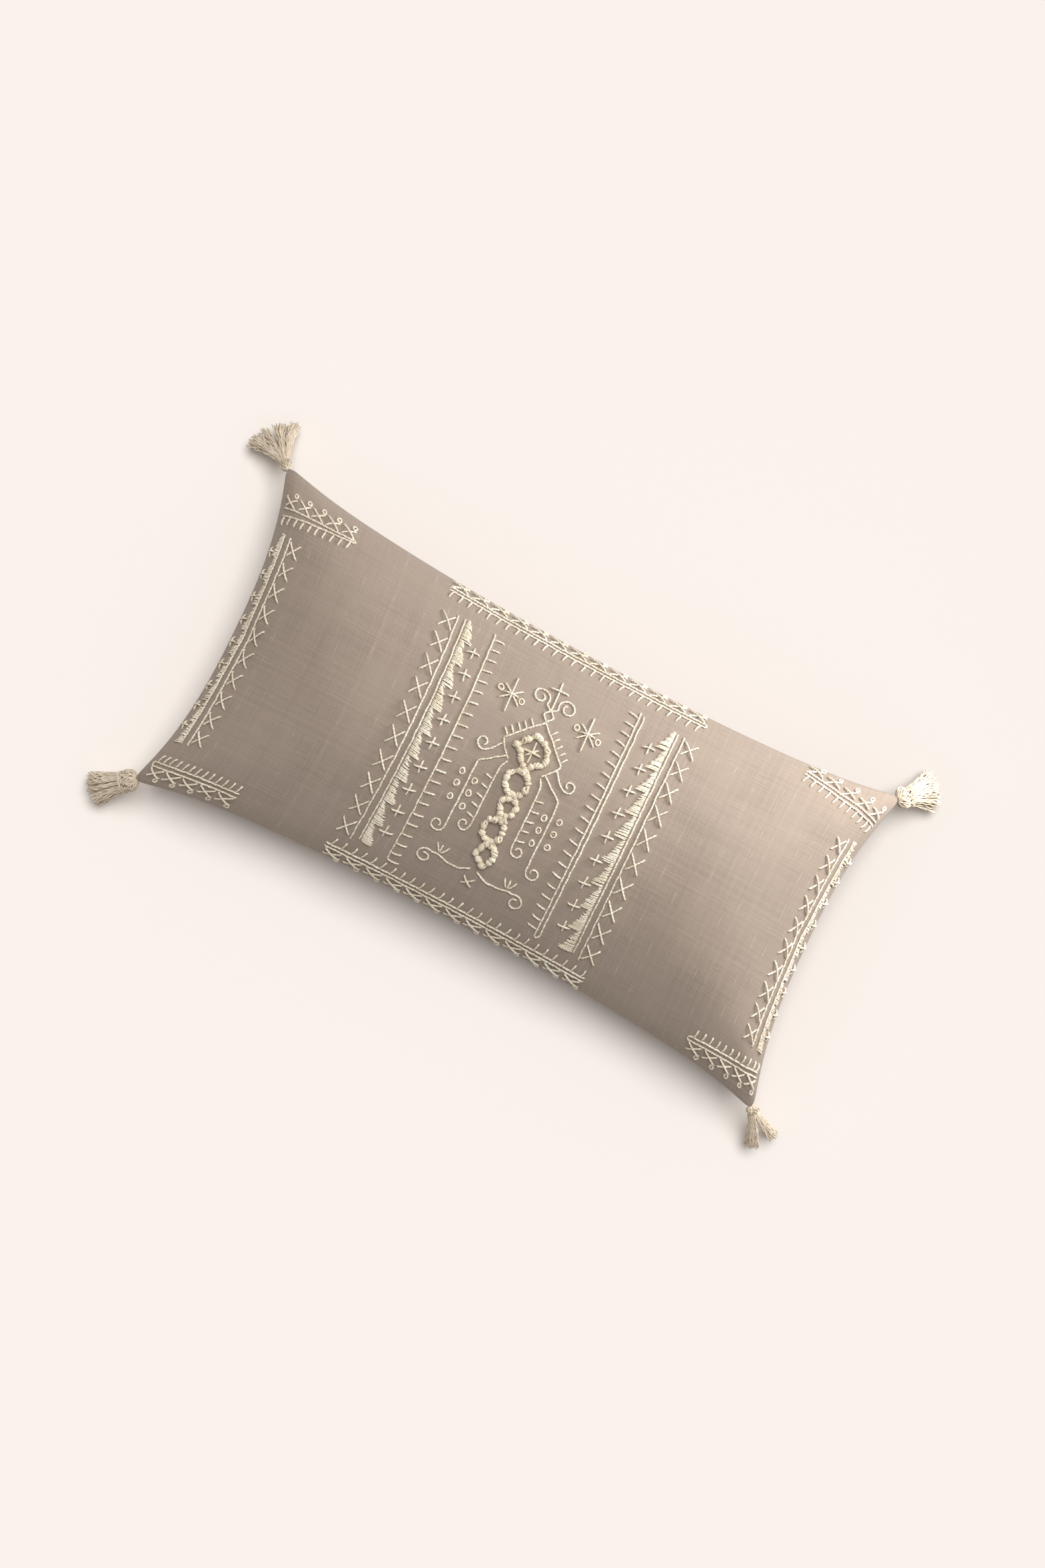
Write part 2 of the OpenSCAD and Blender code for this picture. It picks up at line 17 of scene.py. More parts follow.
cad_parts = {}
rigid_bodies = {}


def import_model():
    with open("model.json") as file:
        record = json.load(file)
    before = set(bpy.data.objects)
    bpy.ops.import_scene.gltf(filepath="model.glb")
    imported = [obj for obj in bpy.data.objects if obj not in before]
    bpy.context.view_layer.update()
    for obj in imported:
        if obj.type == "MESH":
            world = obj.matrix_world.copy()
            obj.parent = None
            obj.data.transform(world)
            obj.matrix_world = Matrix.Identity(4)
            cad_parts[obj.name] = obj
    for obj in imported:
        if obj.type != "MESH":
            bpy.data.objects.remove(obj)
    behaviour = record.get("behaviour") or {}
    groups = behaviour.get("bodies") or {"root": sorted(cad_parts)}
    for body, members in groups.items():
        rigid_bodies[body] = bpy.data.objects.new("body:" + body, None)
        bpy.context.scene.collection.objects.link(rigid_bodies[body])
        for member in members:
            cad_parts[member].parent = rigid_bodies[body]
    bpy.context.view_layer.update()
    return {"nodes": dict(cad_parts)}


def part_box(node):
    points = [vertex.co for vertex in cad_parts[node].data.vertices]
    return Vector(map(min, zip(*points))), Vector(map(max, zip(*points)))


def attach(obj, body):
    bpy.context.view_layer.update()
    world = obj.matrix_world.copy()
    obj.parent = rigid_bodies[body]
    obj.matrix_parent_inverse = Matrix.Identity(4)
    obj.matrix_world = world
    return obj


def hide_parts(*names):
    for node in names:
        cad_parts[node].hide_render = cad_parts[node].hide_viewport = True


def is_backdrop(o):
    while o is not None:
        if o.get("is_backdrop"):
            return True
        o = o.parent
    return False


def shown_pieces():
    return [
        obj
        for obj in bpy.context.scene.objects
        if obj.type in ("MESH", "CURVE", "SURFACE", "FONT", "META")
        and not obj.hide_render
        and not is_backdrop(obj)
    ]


for left_over in list(bpy.data.objects):
    bpy.data.objects.remove(left_over)


def add_object(name, data):
    """A new object in the scene."""
    made = bpy.data.objects.new(name, data)
    bpy.context.scene.collection.objects.link(made)
    return made


def evaluated(item):
    """An object with its modifiers and simulation applied."""
    return item.evaluated_get(bpy.context.evaluated_depsgraph_get())


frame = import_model()

# %% [markdown]
# ## Sizes
# The front panel's box gives the cover's half length, half width and top.
# A sewn cover is a flat bag before it is filled, so the cloth's flat size comes next.
# The two long sides are sewn a little out of square, as most covers are: that is the rack.

# %% Sizes of the cover, in metres
MM = 0.001
RACK = 0.04
panel_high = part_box("front_panel")[1]
HALF_WIDTH = panel_high.y
HALF_LENGTH = panel_high.x - RACK * HALF_WIDTH
FLAT = (610 * MM, 305 * MM)
DIP = 15 * MM
SEAM_LEVEL = 55 * MM
CROWN = panel_high.z - SEAM_LEVEL
CORNER_DROOP = 20 * MM
END_RAMP = 133 * MM
EDGE_SLOPE = math.radians(54.6)
CLOTH = 0.8 * MM
print("half length, half width, crown", [round(v, 4) for v in (HALF_LENGTH, HALF_WIDTH, CROWN)])

# %% Sizes of the zip, in metres
ZIP_TILT = math.radians(42.6)
ZIP_LINE = -108 * MM
ZIP_LEVEL = 30 * MM
ZIP_HALF = 176 * MM
ZIP_SLOT = 2.7 * MM
ZIP_FLAT_ENDS, ZIP_END_FADE = 36 * MM, 12 * MM
ZIP_FLAT_SIDES, ZIP_SIDE_FADE = 30 * MM, 10 * MM


def zip_plane(y):
    """Level of the back round the zip, where the cloth is held straight."""
    return ZIP_LEVEL - (y - ZIP_LINE) * math.tan(ZIP_TILT)


# %% [markdown]
# ## The cover as a flat bag
# A real cover is cut flat, sewn round its edge and turned. Here two grids are made, the second
# one is turned over, and the points of their rims are merged, which is the seam.
# Each corner of each face keeps its place in the flat cloth as a UV, for the weave and the stitches.

# %% The flat bag
COLUMNS, ROWS = 100, 50


def flat_bag():
    """Two grids welded at the rim, with the flat place of each point as UV and on the point."""
    bm = bmesh.new()
    bmesh.ops.create_grid(bm, x_segments=COLUMNS, y_segments=ROWS, size=0.5)
    bmesh.ops.scale(bm, vec=(FLAT[0], FLAT[1], 1), verts=bm.verts)
    layer = bm.loops.layers.uv.new("cloth")
    place = bm.verts.layers.float_vector.new("flat")
    for vert in bm.verts:
        vert[place] = (vert.co.x, vert.co.y, 1)
    for face in bm.faces:
        for loop in face.loops:
            loop[layer].uv = loop.vert.co.xy
    back = bmesh.ops.duplicate(bm, geom=bm.verts[:] + bm.edges[:] + bm.faces[:])["geom"]
    for vert in (g for g in back if isinstance(g, bmesh.types.BMVert)):
        vert[place] = (vert.co.x, vert.co.y, -1)
    turned = [g for g in back if isinstance(g, bmesh.types.BMFace)]
    bmesh.ops.reverse_faces(bm, faces=turned)
    for face in turned:
        face.material_index = 1
    rim = [v for v in bm.verts if v.is_boundary]
    bmesh.ops.remove_doubles(bm, verts=rim, dist=1e-5)
    return bm, place


bag, flat_layer = flat_bag()
flat_places = np.array([v[flat_layer] for v in bag.verts])
print("bag", len(bag.verts), "points", len(bag.faces), "faces")

# %% [markdown]
# ## The filled form
# Filling lifts the cloth in a bow that meets the seam at a steep angle, and draws the sides in
# between the corners. The same bow says how far along the bow each point of flat cloth comes.

# %% Where the filling brings each point
BOW = FLAT[1] / 2 / EDGE_SLOPE
END_BOW = END_RAMP / math.sin(EDGE_SLOPE)
FLAT_RUN = FLAT[0] / 2 - END_BOW * EDGE_SLOPE
DRAWN_RUN = HALF_LENGTH - DIP - END_RAMP
CORNER_STUFFING = 2.0
SIDE_CURVE = 2.3


def bow(t):
    """Height of the bow at a share t of the way from the middle to the seam."""
    slope = np.sqrt(np.clip(1 - (t * math.sin(EDGE_SLOPE)) ** 2, 0, 1))
    return (slope - math.cos(EDGE_SLOPE)) / (1 - math.cos(EDGE_SLOPE))


def filled(places):
    """Points of the filled bag from flat places (x, y, side)."""
    s, t, side = places.T
    far = DRAWN_RUN + END_BOW * np.sin((np.abs(s) - FLAT_RUN) / END_BOW)
    near = np.abs(s) * DRAWN_RUN / FLAT_RUN
    u = np.sign(s) * np.where(np.abs(s) > FLAT_RUN, far, near) / (HALF_LENGTH - DIP)
    v = np.sin(t / BOW) / math.sin(EDGE_SLOPE)
    ramp = np.clip((np.abs(u) * HALF_LENGTH - DRAWN_RUN - DIP) / END_RAMP, 0, 1)
    across, along = bow(np.abs(v)), bow(ramp)
    stuffed = 1 + CORNER_STUFFING * (1 - across) * (1 - along)
    height = CROWN * across * along * stuffed
    x = u * (HALF_LENGTH - DIP * (1 - np.abs(v) ** SIDE_CURVE))
    y = v * (HALF_WIDTH - DIP * (1 - np.abs(u) ** SIDE_CURVE))
    return np.stack([x, y, side * height], axis=1)


start = filled(flat_places)
print("filled form", np.round(start.max(0) - start.min(0), 4))

# %% [markdown]
# ## Cloth simulation
# The flat cloth is a little larger than the filling needs, so it settles into soft folds.
# Blender's Cloth works this out: the points start on the filled form and are held near it,
# and the rest lengths come from the flat bag, kept as a shape key.

# %% Settling the cloth over its filling
SPARE_CLOTH = 1.014
HOLD_SHARE = 0.12


def settled(bm, begin, flat, frames=24):
    """Points of the bag after its cloth has settled."""
    mesh = bpy.data.meshes.new("settling")
    bm.to_mesh(mesh)
    mesh.vertices.foreach_set("co", begin.astype(np.float32).ravel())
    piece = add_object("settling", mesh)
    piece.shape_key_add(name="filled")
    cut = piece.shape_key_add(name="flat cloth")
    spare = flat * [SPARE_CLOTH, SPARE_CLOTH, 0]
    cut.data.foreach_set("co", spare.astype(np.float32).ravel())
    cut.value = 0
    held = piece.vertex_groups.new(name="held")
    held.add(list(range(len(begin))), HOLD_SHARE, "REPLACE")
    cloth = piece.modifiers.new("Cloth", "CLOTH")
    cloth.settings.quality = 6
    cloth.settings.mass = 0.2
    cloth.settings.air_damping = 5
    cloth.settings.tension_stiffness = 15
    cloth.settings.compression_stiffness = 15
    cloth.settings.shear_stiffness = 5
    cloth.settings.bending_model = "ANGULAR"
    cloth.settings.bending_stiffness = 0.25
    cloth.settings.rest_shape_key = cut
    cloth.settings.vertex_group_mass = "held"
    cloth.settings.pin_stiffness = 0.25
    cloth.settings.use_pressure = True
    cloth.settings.uniform_pressure_force = 0.7
    cloth.settings.effector_weights.gravity = 0
    cloth.point_cache.frame_start, cloth.point_cache.frame_end = 1, frames
    for step in range(1, frames + 1):
        bpy.context.scene.frame_set(step)
    points = np.zeros(len(begin) * 3, np.float32)
    evaluated(piece).data.vertices.foreach_get("co", points)
    bpy.data.objects.remove(piece)
    bpy.context.scene.frame_set(1)
    return points.reshape(-1, 3).astype(float)


cloth_points = settled(bag, start, flat_places)
print("settled", np.round(cloth_points.max(0) - cloth_points.min(0), 4))

# %% [markdown]
# The cloth's broad swelling is taken away again, because the filling's form is already right,
# and only its folds are kept. Soft lumps of filling are added with Blender's own noise.

# %% The folds without the swelling
def as_grid(points, side):
    """Values of one side's points as rows and columns of the flat cloth."""
    grid = np.zeros((ROWS + 1, COLUMNS + 1, 3))
    column = np.rint((flat_places[:, 0] / FLAT[0] + 0.5) * COLUMNS).astype(int)
    row = np.rint((flat_places[:, 1] / FLAT[1] + 0.5) * ROWS).astype(int)
    rim = (column == 0) | (column == COLUMNS) | (row == 0) | (row == ROWS)
    mine = rim | (flat_places[:, 2] == side)
    grid[row[mine], column[mine]] = points[mine]
    return grid, row, column, mine


def broad(grid, passes=60):
    """A grid smoothed until only its broad form is left."""
    for _ in range(passes):
        padded = np.pad(grid, ((1, 1), (1, 1), (0, 0)), mode="edge")
        grid = (padded[:-2, 1:-1] + padded[2:, 1:-1] + padded[1:-1, :-2] + padded[1:-1, 2:]) / 4
    return grid


FOLD, SWELLING = 1.5, 0.25
folded = start.copy()
for side in (1, -1):
    grid, row, column, mine = as_grid(cloth_points - start, side)
    folds = FOLD * (grid - broad(grid)) + SWELLING * broad(grid)
    folded[mine] = start[mine] + folds[row[mine], column[mine]]
print("deepest fold", round(float(np.abs(folded - start).max()) / MM, 2), "mm")


# %% Lumps, corner puckers and the way the pillow lies
def lumps(point, side):
    """Rise of the uneven filling at a point, in metres."""
    place = Vector((point[0] * 11, point[1] * 11, side * 3.0))
    fine = Vector((point[0] * 34 + 7, point[1] * 34, side * 5.0))
    return 2.2 * MM * noise.noise(place) + 0.8 * MM * noise.noise(fine)


def puckers(point):
    """Rise of the folds that run in from a corner and fade."""
    dx = (HALF_LENGTH - abs(point[0])) / MM
    dy = (HALF_WIDTH - abs(point[1])) / MM
    far = math.hypot(dx, dy)
    turn = math.atan2(dy, dx)
    fade = math.exp(-((far - 34) / 26) ** 2)
    lean = 1.3 if point[0] * point[1] > 0 else -0.7
    return 1.6 * MM * fade * math.sin(9 * turn + lean)


EDGE_FADE = 30 * MM
SOFT_REST = 6 * MM


def share(value):
    """A value kept between 0 and 1."""
    return min(1.0, max(0.0, value))


def lie(point, flat):
    """A point of the folded bag brought to its place on the surface."""
    side = flat[2]
    edge = min(1.0, *((FLAT[k] / 2 - abs(flat[k])) / EDGE_FADE for k in (0, 1)))
    rise = edge * (lumps(point, side) + puckers(point))
    x, y = point[0] - RACK * point[1], point[1]
    droop = abs(point[0] / HALF_LENGTH) ** 9 * abs(y / HALF_WIDTH) ** 4
    z = SEAM_LEVEL - CORNER_DROOP * droop + point[2] + side * rise
    if side > 0:
        return x, y, z
    if z < SOFT_REST:
        z = 0 if z < -SOFT_REST else (z + SOFT_REST) ** 2 / (4 * SOFT_REST)
    hold = share((ZIP_HALF + ZIP_FLAT_ENDS - abs(x)) / ZIP_END_FADE)
    hold *= share((ZIP_FLAT_SIDES - abs(y - ZIP_LINE)) / ZIP_SIDE_FADE)
    hold *= share(edge / 0.2)
    return x, y, z + (zip_plane(y) - z) * hold


laid = np.array([lie(p, f) for p, f in zip(folded, flat_places)])
laid[:, 2] = np.maximum(laid[:, 2], 0)
for vert, point in zip(bag.verts, laid):
    vert.co = point


CORNER_RADIUS, CORNER_SPREAD = 13 * MM, 48 * MM
CORNER_LOSS, TIP_OUT = 0.293, 1.4 * MM


def blunt(bm):
    """Rounds the four corners in plan, as turned corners are, and keeps their tips in place."""
    from_corner = np.array(FLAT) / 2 - np.abs(flat_places[:, :2])
    inside = np.maximum(CORNER_RADIUS - from_corner, 0)
    longest = inside.max(axis=1, keepdims=True)
    slant = np.linalg.norm(inside, axis=1, keepdims=True)
    round_in = inside * (1 - longest / np.maximum(slant, 1e-9))
    away = np.linalg.norm(from_corner, axis=1, keepdims=True)
    push_out = (CORNER_LOSS * CORNER_RADIUS + TIP_OUT) * np.exp(-((away / CORNER_SPREAD) ** 2))
    shift = np.sign(flat_places[:, :2]) * (push_out - round_in)
    for vert, (x, y) in zip(bm.verts, shift):
        vert.co.x += x
        vert.co.y += y


blunt(bag)
laid = np.array([v.co for v in bag.verts])
print("laid", np.round(laid.min(0), 4), np.round(laid.max(0), 4))

# %% [markdown]
# ## Nodes for the materials
# Blender builds a material from small nodes. These helpers place a node, set its inputs and
# return it, so that a material reads as a list of steps.

# %% Helpers that place nodes
def feed(tree, inputs, links):
    """Sets inputs; links maps an input's name or number to a value or to another socket."""
    for key, value in links.items():
        if isinstance(value, bpy.types.NodeSocket):
            tree.links.new(value, inputs[key])
        else:
            inputs[key].default_value = value


def put(tree, kind, links=None, **settings):
    """A new node with its settings made and its inputs fed."""
    node = tree.nodes.new(kind)
    for key, value in settings.items():
        setattr(node, key, value)
    feed(tree, node.inputs, links or {})
    return node


def calc(tree, operation, *values):
    """A Math node's result."""
    return put(tree, "ShaderNodeMath", dict(enumerate(values)), operation=operation).outputs[0]


def mottle(tree, where, scale, detail):
    """Blender's own noise at a place."""
    links = {"Vector": where, "Scale": scale, "Detail": detail}
    return put(tree, "ShaderNodeTexNoise", links).outputs[0]


def mix_colour(tree, factor, first, second):
    """A mix of two colours by a factor."""
    links = {0: factor, 6: first, 7: second}
    return put(tree, "ShaderNodeMix", links, data_type="RGBA").outputs[2]


def fade(tree, value, low, high):
    """0 below low, 1 above high and a smooth way between."""
    links = {0: value, 1: low, 2: high}
    return put(tree, "ShaderNodeMapRange", links, interpolation_type="SMOOTHSTEP").outputs[0]


def colour(red, green, blue):
    """A colour given as it looks on a screen, 0 to 255, for a shader."""
    return tuple((c / 255) ** 2.2 for c in (red, green, blue)) + (1.0,)


def new_group(name, inputs, outputs):
    """An empty shader node group with its named inputs and outputs."""
    tree = bpy.data.node_groups.new(name, "ShaderNodeTree")
    for label, kind, value in inputs:
        socket = tree.interface.new_socket(label, in_out="INPUT", socket_type=kind)
        if value is not None:
            socket.default_value = value
    for label, kind in outputs:
        tree.interface.new_socket(label, in_out="OUTPUT", socket_type=kind)
    return tree, tree.nodes.new("NodeGroupInput").outputs, tree.nodes.new("NodeGroupOutput").inputs


FLOAT, VECTOR = "NodeSocketFloat", "NodeSocketVector"
print("node helpers ready")

# %% [markdown]
# ## Plain weave
# In plain weave each thread goes over one and under the next. A thread is high in its middle,
# and every second crossing is turned round. Linen thread is uneven: each thread has its own
# tone, and here and there a thick pale thread, a slub, runs across the cloth.

# %% The plain weave group
def plain_weave_group():
    """Height, tone and slubs of a plain weave from a flat place."""
    tree, given, out = new_group(
        "plain weave",
        [("Vector", VECTOR, None), ("Pitch", FLOAT, 0.00075), ("Slubs", FLOAT, 0.97)],
        [("Height", FLOAT), ("Tone", FLOAT), ("Slub", FLOAT)],
    )
    wander = calc(tree, "SUBTRACT", mottle(tree, given["Vector"], 90.0, 2.0), 0.5)
    shift = calc(tree, "MULTIPLY", wander, 0.0012)
    place = put(tree, "ShaderNodeSeparateXYZ", {0: given["Vector"]})
    run = {}
    for name, axis in (("warp", "X"), ("weft", "Y")):
        moved = calc(tree, "ADD", place.outputs[axis], shift)
        run[name] = calc(tree, "DIVIDE", moved, given["Pitch"])
    heights, tones, slubs = [], [], []
    threads = (("warp", "weft", 1.0, 0.0, 1.0), ("weft", "warp", -1.0, 57.3, 0.22))
    for own, other, first_over, seed, slubbed in threads:
        number = calc(tree, "FLOOR", run[own])
        humps = calc(tree, "SINE", calc(tree, "MULTIPLY", run[own], math.pi))
        profile = calc(tree, "ABSOLUTE", humps)
        crossing = calc(tree, "ADD", run[other], number)
        turn = calc(tree, "MULTIPLY_ADD", crossing, math.pi, 0.5 * math.pi)
        wave = calc(tree, "MULTIPLY", calc(tree, "SINE", turn), first_over)
        rise = calc(tree, "MULTIPLY_ADD", wave, 0.35, 0.65)
        heights.append(calc(tree, "MULTIPLY", profile, rise))
        seeded = {"W": calc(tree, "ADD", number, seed)}
        lot = put(tree, "ShaderNodeTexWhiteNoise", seeded, noise_dimensions="1D").outputs[0]
        slow = calc(tree, "MULTIPLY", run[other], 0.045)
        along = put(tree, "ShaderNodeCombineXYZ", {0: number, 1: slow, 2: seed}).outputs[0]
        part = mottle(tree, along, 1.0, 1.0)
        tones.append(calc(tree, "MULTIPLY_ADD", part, 0.6, calc(tree, "MULTIPLY", lot, 0.4)))
        chosen = calc(tree, "GREATER_THAN", lot, given["Slubs"])
        thick = calc(tree, "MULTIPLY", chosen, fade(tree, part, 0.5, 0.66))
        slubs.append(calc(tree, "MULTIPLY", thick, slubbed))
    tone = calc(tree, "MULTIPLY", calc(tree, "ADD", *tones), 0.5)
    tallest, slub = calc(tree, "MAXIMUM", *heights), calc(tree, "MAXIMUM", *slubs)
    feed(tree, out, {"Height": tallest, "Tone": tone, "Slub": slub})
    return tree


plain_weave = plain_weave_group()
print("group", plain_weave.name, len(plain_weave.nodes), "nodes")

# %% [markdown]
# ## Spun yarn
# Cotton yarn is a twist of fine fibres with a soft, dull surface. The fibres show as fine
# streaks and the handling as faint darker places, so one group serves thread, tassel and tape.

# %% The spun yarn group
def spun_yarn_group():
    """Height and tone of spun fibres at a place."""
    tree, given, out = new_group(
        "spun yarn",
        [("Vector", VECTOR, None), ("Fibre", FLOAT, 900.0), ("Handling", FLOAT, 45.0)],
        [("Height", FLOAT), ("Tone", FLOAT)],
    )
    fibre = mottle(tree, given["Vector"], given["Fibre"], 3.0)
    soft = mottle(tree, given["Vector"], given["Handling"], 2.0)
    tone = calc(tree, "MULTIPLY_ADD", soft, 0.7, calc(tree, "MULTIPLY", fibre, 0.3))
    feed(tree, out, {"Height": fibre, "Tone": tone})
    return tree


spun_yarn = spun_yarn_group()
print("group", spun_yarn.name, len(spun_yarn.nodes), "nodes")


# %% Starting a material and finishing its bump
def new_material(name):
    """A material with only its shader and output; returns it, its tree and the shader."""
    material = bpy.data.materials.new(name)
    material.use_nodes = True
    tree = material.node_tree
    return material, tree, tree.nodes["Principled BSDF"]


def use_group(tree, group, links):
    """The outputs of a shader group's node with its inputs fed."""
    return put(tree, "ShaderNodeGroup", links, node_tree=group).outputs


def object_place(tree):
    """A point's place in its object, in metres."""
    return put(tree, "ShaderNodeTexCoord").outputs["Object"]


def raise_bump(tree, shader, height, distance, strength):
    """Feeds a height in metres times distance to the shader's normal."""
    links = {"Height": height, "Distance": distance, "Strength": strength}
    bump = put(tree, "ShaderNodeBump", links)
    feed(tree, shader.inputs, {"Normal": bump.outputs[0]})


# %% [markdown]
# ## The cover's linen
# A warm taupe plain weave, mottled by the dye, with painted shade between the threads where
# the weave is low. It is dull, with the little sheen that loose fibre ends give at a glancing angle.

# %% The linen material
def linen():
    material, tree, shader = new_material("woven linen")
    flat = put(tree, "ShaderNodeUVMap", uv_map="cloth").outputs[0]
    weave = use_group(tree, plain_weave, {"Vector": flat, "Pitch": 0.0007, "Slubs": 0.972})
    dye = fade(tree, mottle(tree, flat, 16.0, 3.0), 0.35, 0.65)
    body = mix_colour(tree, dye, colour(146, 131, 119), colour(153, 138, 125))
    body = mix_colour(tree, fade(tree, weave["Tone"], 0.3, 0.7), body, colour(160, 145, 132))
    # Painted shade between the threads: where the weave is low, the colour is darkened towards a deep
    # brown.
    low = calc(tree, "SUBTRACT", 1.0, fade(tree, weave["Height"], 0.1, 0.7))
    body = mix_colour(tree, calc(tree, "MULTIPLY", low, 0.3), body, colour(116, 102, 90))
    slub = calc(tree, "MULTIPLY", weave["Slub"], 0.3)
    looks = {
        "Base Color": mix_colour(tree, slub, body, colour(198, 186, 172)),
        "Roughness": calc(tree, "MULTIPLY_ADD", weave["Tone"], 0.12, 0.78),
        "Specular IOR Level": 0.25,
        "Sheen Weight": 0.12,
        "Sheen Roughness": 0.5,
    }
    feed(tree, shader.inputs, looks)
    height = calc(tree, "MULTIPLY_ADD", weave["Slub"], 0.6, weave["Height"])
    raise_bump(tree, shader, height, 0.0002, 0.6)
    return material


linen_material = linen()
print("material", linen_material.name)

# %% [markdown]
# ## Cotton thread, tassel yarn and the insert's casing
# The thread is undyed cotton: cream, a little warmer in its shaded places. The tassel yarn is
# the same cotton, softer spun. The casing is a fine white plain weave.

# %% The cotton materials
def cotton(name, pale, deep, fibre, sheen):
    material, tree, shader = new_material(name)
    links = {"Vector": object_place(tree), "Fibre": fibre, "Handling": 60.0}
    yarn = use_group(tree, spun_yarn, links)
    looks = {
        "Base Color": mix_colour(tree, fade(tree, yarn["Tone"], 0.36, 0.66), deep, pale),
        "Roughness": calc(tree, "MULTIPLY_ADD", yarn["Height"], 0.2, 0.62),
        "Specular IOR Level": 0.3,
        "Sheen Weight": sheen,
        "Sheen Roughness": 0.4,
    }
    feed(tree, shader.inputs, looks)
    raise_bump(tree, shader, yarn["Height"], 0.00018, 0.9)
    return material


CREAM, CREAM_SHADE = colour(238, 229, 211), colour(222, 209, 186)
YARN_PALE, YARN_DEEP = colour(229, 215, 194), colour(205, 188, 165)
CORD_PALE, CORD_DEEP = colour(234, 223, 202), colour(208, 193, 168)
thread_material = cotton("cotton thread", CREAM, CREAM_SHADE, 1100.0, 0.1)
tassel_material = cotton("tassel yarn", YARN_PALE, YARN_DEEP, 1400.0, 0.15)
cord_material = cotton("knotted cord cotton", CORD_PALE, CORD_DEEP, 900.0, 0.1)


def casing():
    material, tree, shader = new_material("insert casing")
    flat = put(tree, "ShaderNodeUVMap", uv_map="cloth").outputs[0]
    weave = use_group(tree, plain_weave, {"Vector": flat, "Pitch": 0.0004, "Slubs": 0.995})
    tone = fade(tree, weave["Tone"], 0.3, 0.7)
    white = mix_colour(tree, tone, colour(232, 230, 224), colour(244, 243, 240))
    rough = calc(tree, "MULTIPLY_ADD", weave["Height"], 0.1, 0.75)
    feed(tree, shader.inputs, {"Base Color": white, "Roughness": rough})
    raise_bump(tree, shader, weave["Height"], 0.0001, 0.6)
    return material


casing_material = casing()
for made in (thread_material, tassel_material, cord_material, casing_material):
    print("material", made.name)

# %% [markdown]
# ## Zip materials
# The tape is a dyed twill, the teeth are a nylon coil, and the slider, pull and stops are cast
# metal with a dull antique finish that is brighter where fingers rub it.

# %% The zip materials
def tape():
    material, tree, shader = new_material("zip tape")
    where = object_place(tree)
    turned = put(tree, "ShaderNodeMapping", {"Vector": where, "Rotation": (0.0, 0.0, 0.78)})
    links = {"Vector": turned.outputs[0], "Scale": 330.0, "Distortion": 0.6}
    twill = put(tree, "ShaderNodeTexWave", links).outputs[1]
    yarn = use_group(tree, spun_yarn, {"Vector": where, "Fibre": 1500.0, "Handling": 80.0})
    tone = fade(tree, yarn["Tone"], 0.35, 0.65)
    body = mix_colour(tree, tone, colour(134, 116, 101), colour(152, 133, 117))
    body = mix_colour(tree, calc(tree, "MULTIPLY", twill, 0.35), body, colour(112, 95, 80))
    rough = calc(tree, "MULTIPLY_ADD", yarn["Height"], 0.15, 0.7)
    feed(tree, shader.inputs, {"Base Color": body, "Roughness": rough})
    raise_bump(tree, shader, twill, 0.00012, 0.8)
    return material


def coil_nylon():
    material, tree, shader = new_material("coil nylon")
    drawn = mottle(tree, object_place(tree), 700.0, 2.0)
    body = mix_colour(tree, drawn, colour(146, 128, 112), colour(164, 146, 129))
    rough = calc(tree, "MULTIPLY_ADD", drawn, 0.2, 0.32)
    feed(tree, shader.inputs, {"Base Color": body, "Roughness": rough})
    raise_bump(tree, shader, drawn, 0.00004, 0.4)
    return material


def cast_metal():
    material, tree, shader = new_material("zip metal")
    where = object_place(tree)
    rubbed = fade(tree, mottle(tree, where, 260.0, 4.0), 0.42, 0.62)
    body = mix_colour(tree, rubbed, colour(146, 128, 96), colour(196, 182, 152))
    rough = calc(tree, "MULTIPLY_ADD", rubbed, -0.16, 0.46)
    feed(tree, shader.inputs, {"Base Color": body, "Metallic": 1.0, "Roughness": rough})
    raise_bump(tree, shader, mottle(tree, where, 1800.0, 3.0), 0.00005, 0.5)
    return material


tape_material, nylon_material, metal_material = tape(), coil_nylon(), cast_metal()
print("materials", tape_material.name, nylon_material.name, metal_material.name)


# %% [markdown]
# ## The cover's panels
# The settled bag is divided once more for smoothness and parted at its seam and at the zip:
# one front, one wide back panel and the narrow strip below the zip. Each gets its thickness
# inwards, so that its outer face stays where it was.

# %% Making an object from a bmesh
def make_piece(name, bm, material, body):
    """A finished mesh object that rides on a body."""
    mesh = bpy.data.meshes.new(name)
    bm.to_mesh(mesh)
    bm.free()
    mesh.materials.clear()
    mesh.materials.append(material)
    for polygon in mesh.polygons:
        polygon.material_index = 0
    mesh.polygons.foreach_set("use_smooth", [True] * len(mesh.polygons))
    piece = add_object(name, mesh)
    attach(piece, body)
    return piece


def subdivided(bm):
    """The bag divided once more by a Subdivision Surface, as a new bmesh."""
    mesh = bpy.data.meshes.new("smoothing")
    bm.to_mesh(mesh)
    piece = add_object("smoothing", mesh)
    smooth = piece.modifiers.new("smooth", "SUBSURF")
    smooth.levels = smooth.render_levels = 1
    smooth.uv_smooth = "NONE"
    finer = bpy.data.meshes.new_from_object(evaluated(piece))
    bpy.data.objects.remove(piece)
    result = bmesh.new()
    result.from_mesh(finer)
    return result


fine_bag = subdivided(bag)
print("fine bag", len(fine_bag.verts), "points")


# %% Parting the bag at its seam
def one_side(source, index):
    """A copy of the fine bag with only the front (0) or the back (1)."""
    part = source.copy()
    other = [f for f in part.faces if f.material_index != index]
    bmesh.ops.delete(part, geom=other, context="FACES")
    return part


def thicken(piece):
    """Cloth thickness, inwards from the outer face."""
    solid = piece.modifiers.new("thickness", "SOLIDIFY")
    solid.thickness = CLOTH
    solid.offset = -1
    solid.use_even_offset = False


front_form = one_side(fine_bag, 0)
back_form = one_side(fine_bag, 1)
print("front faces", len(front_form.faces), "back faces", len(back_form.faces))


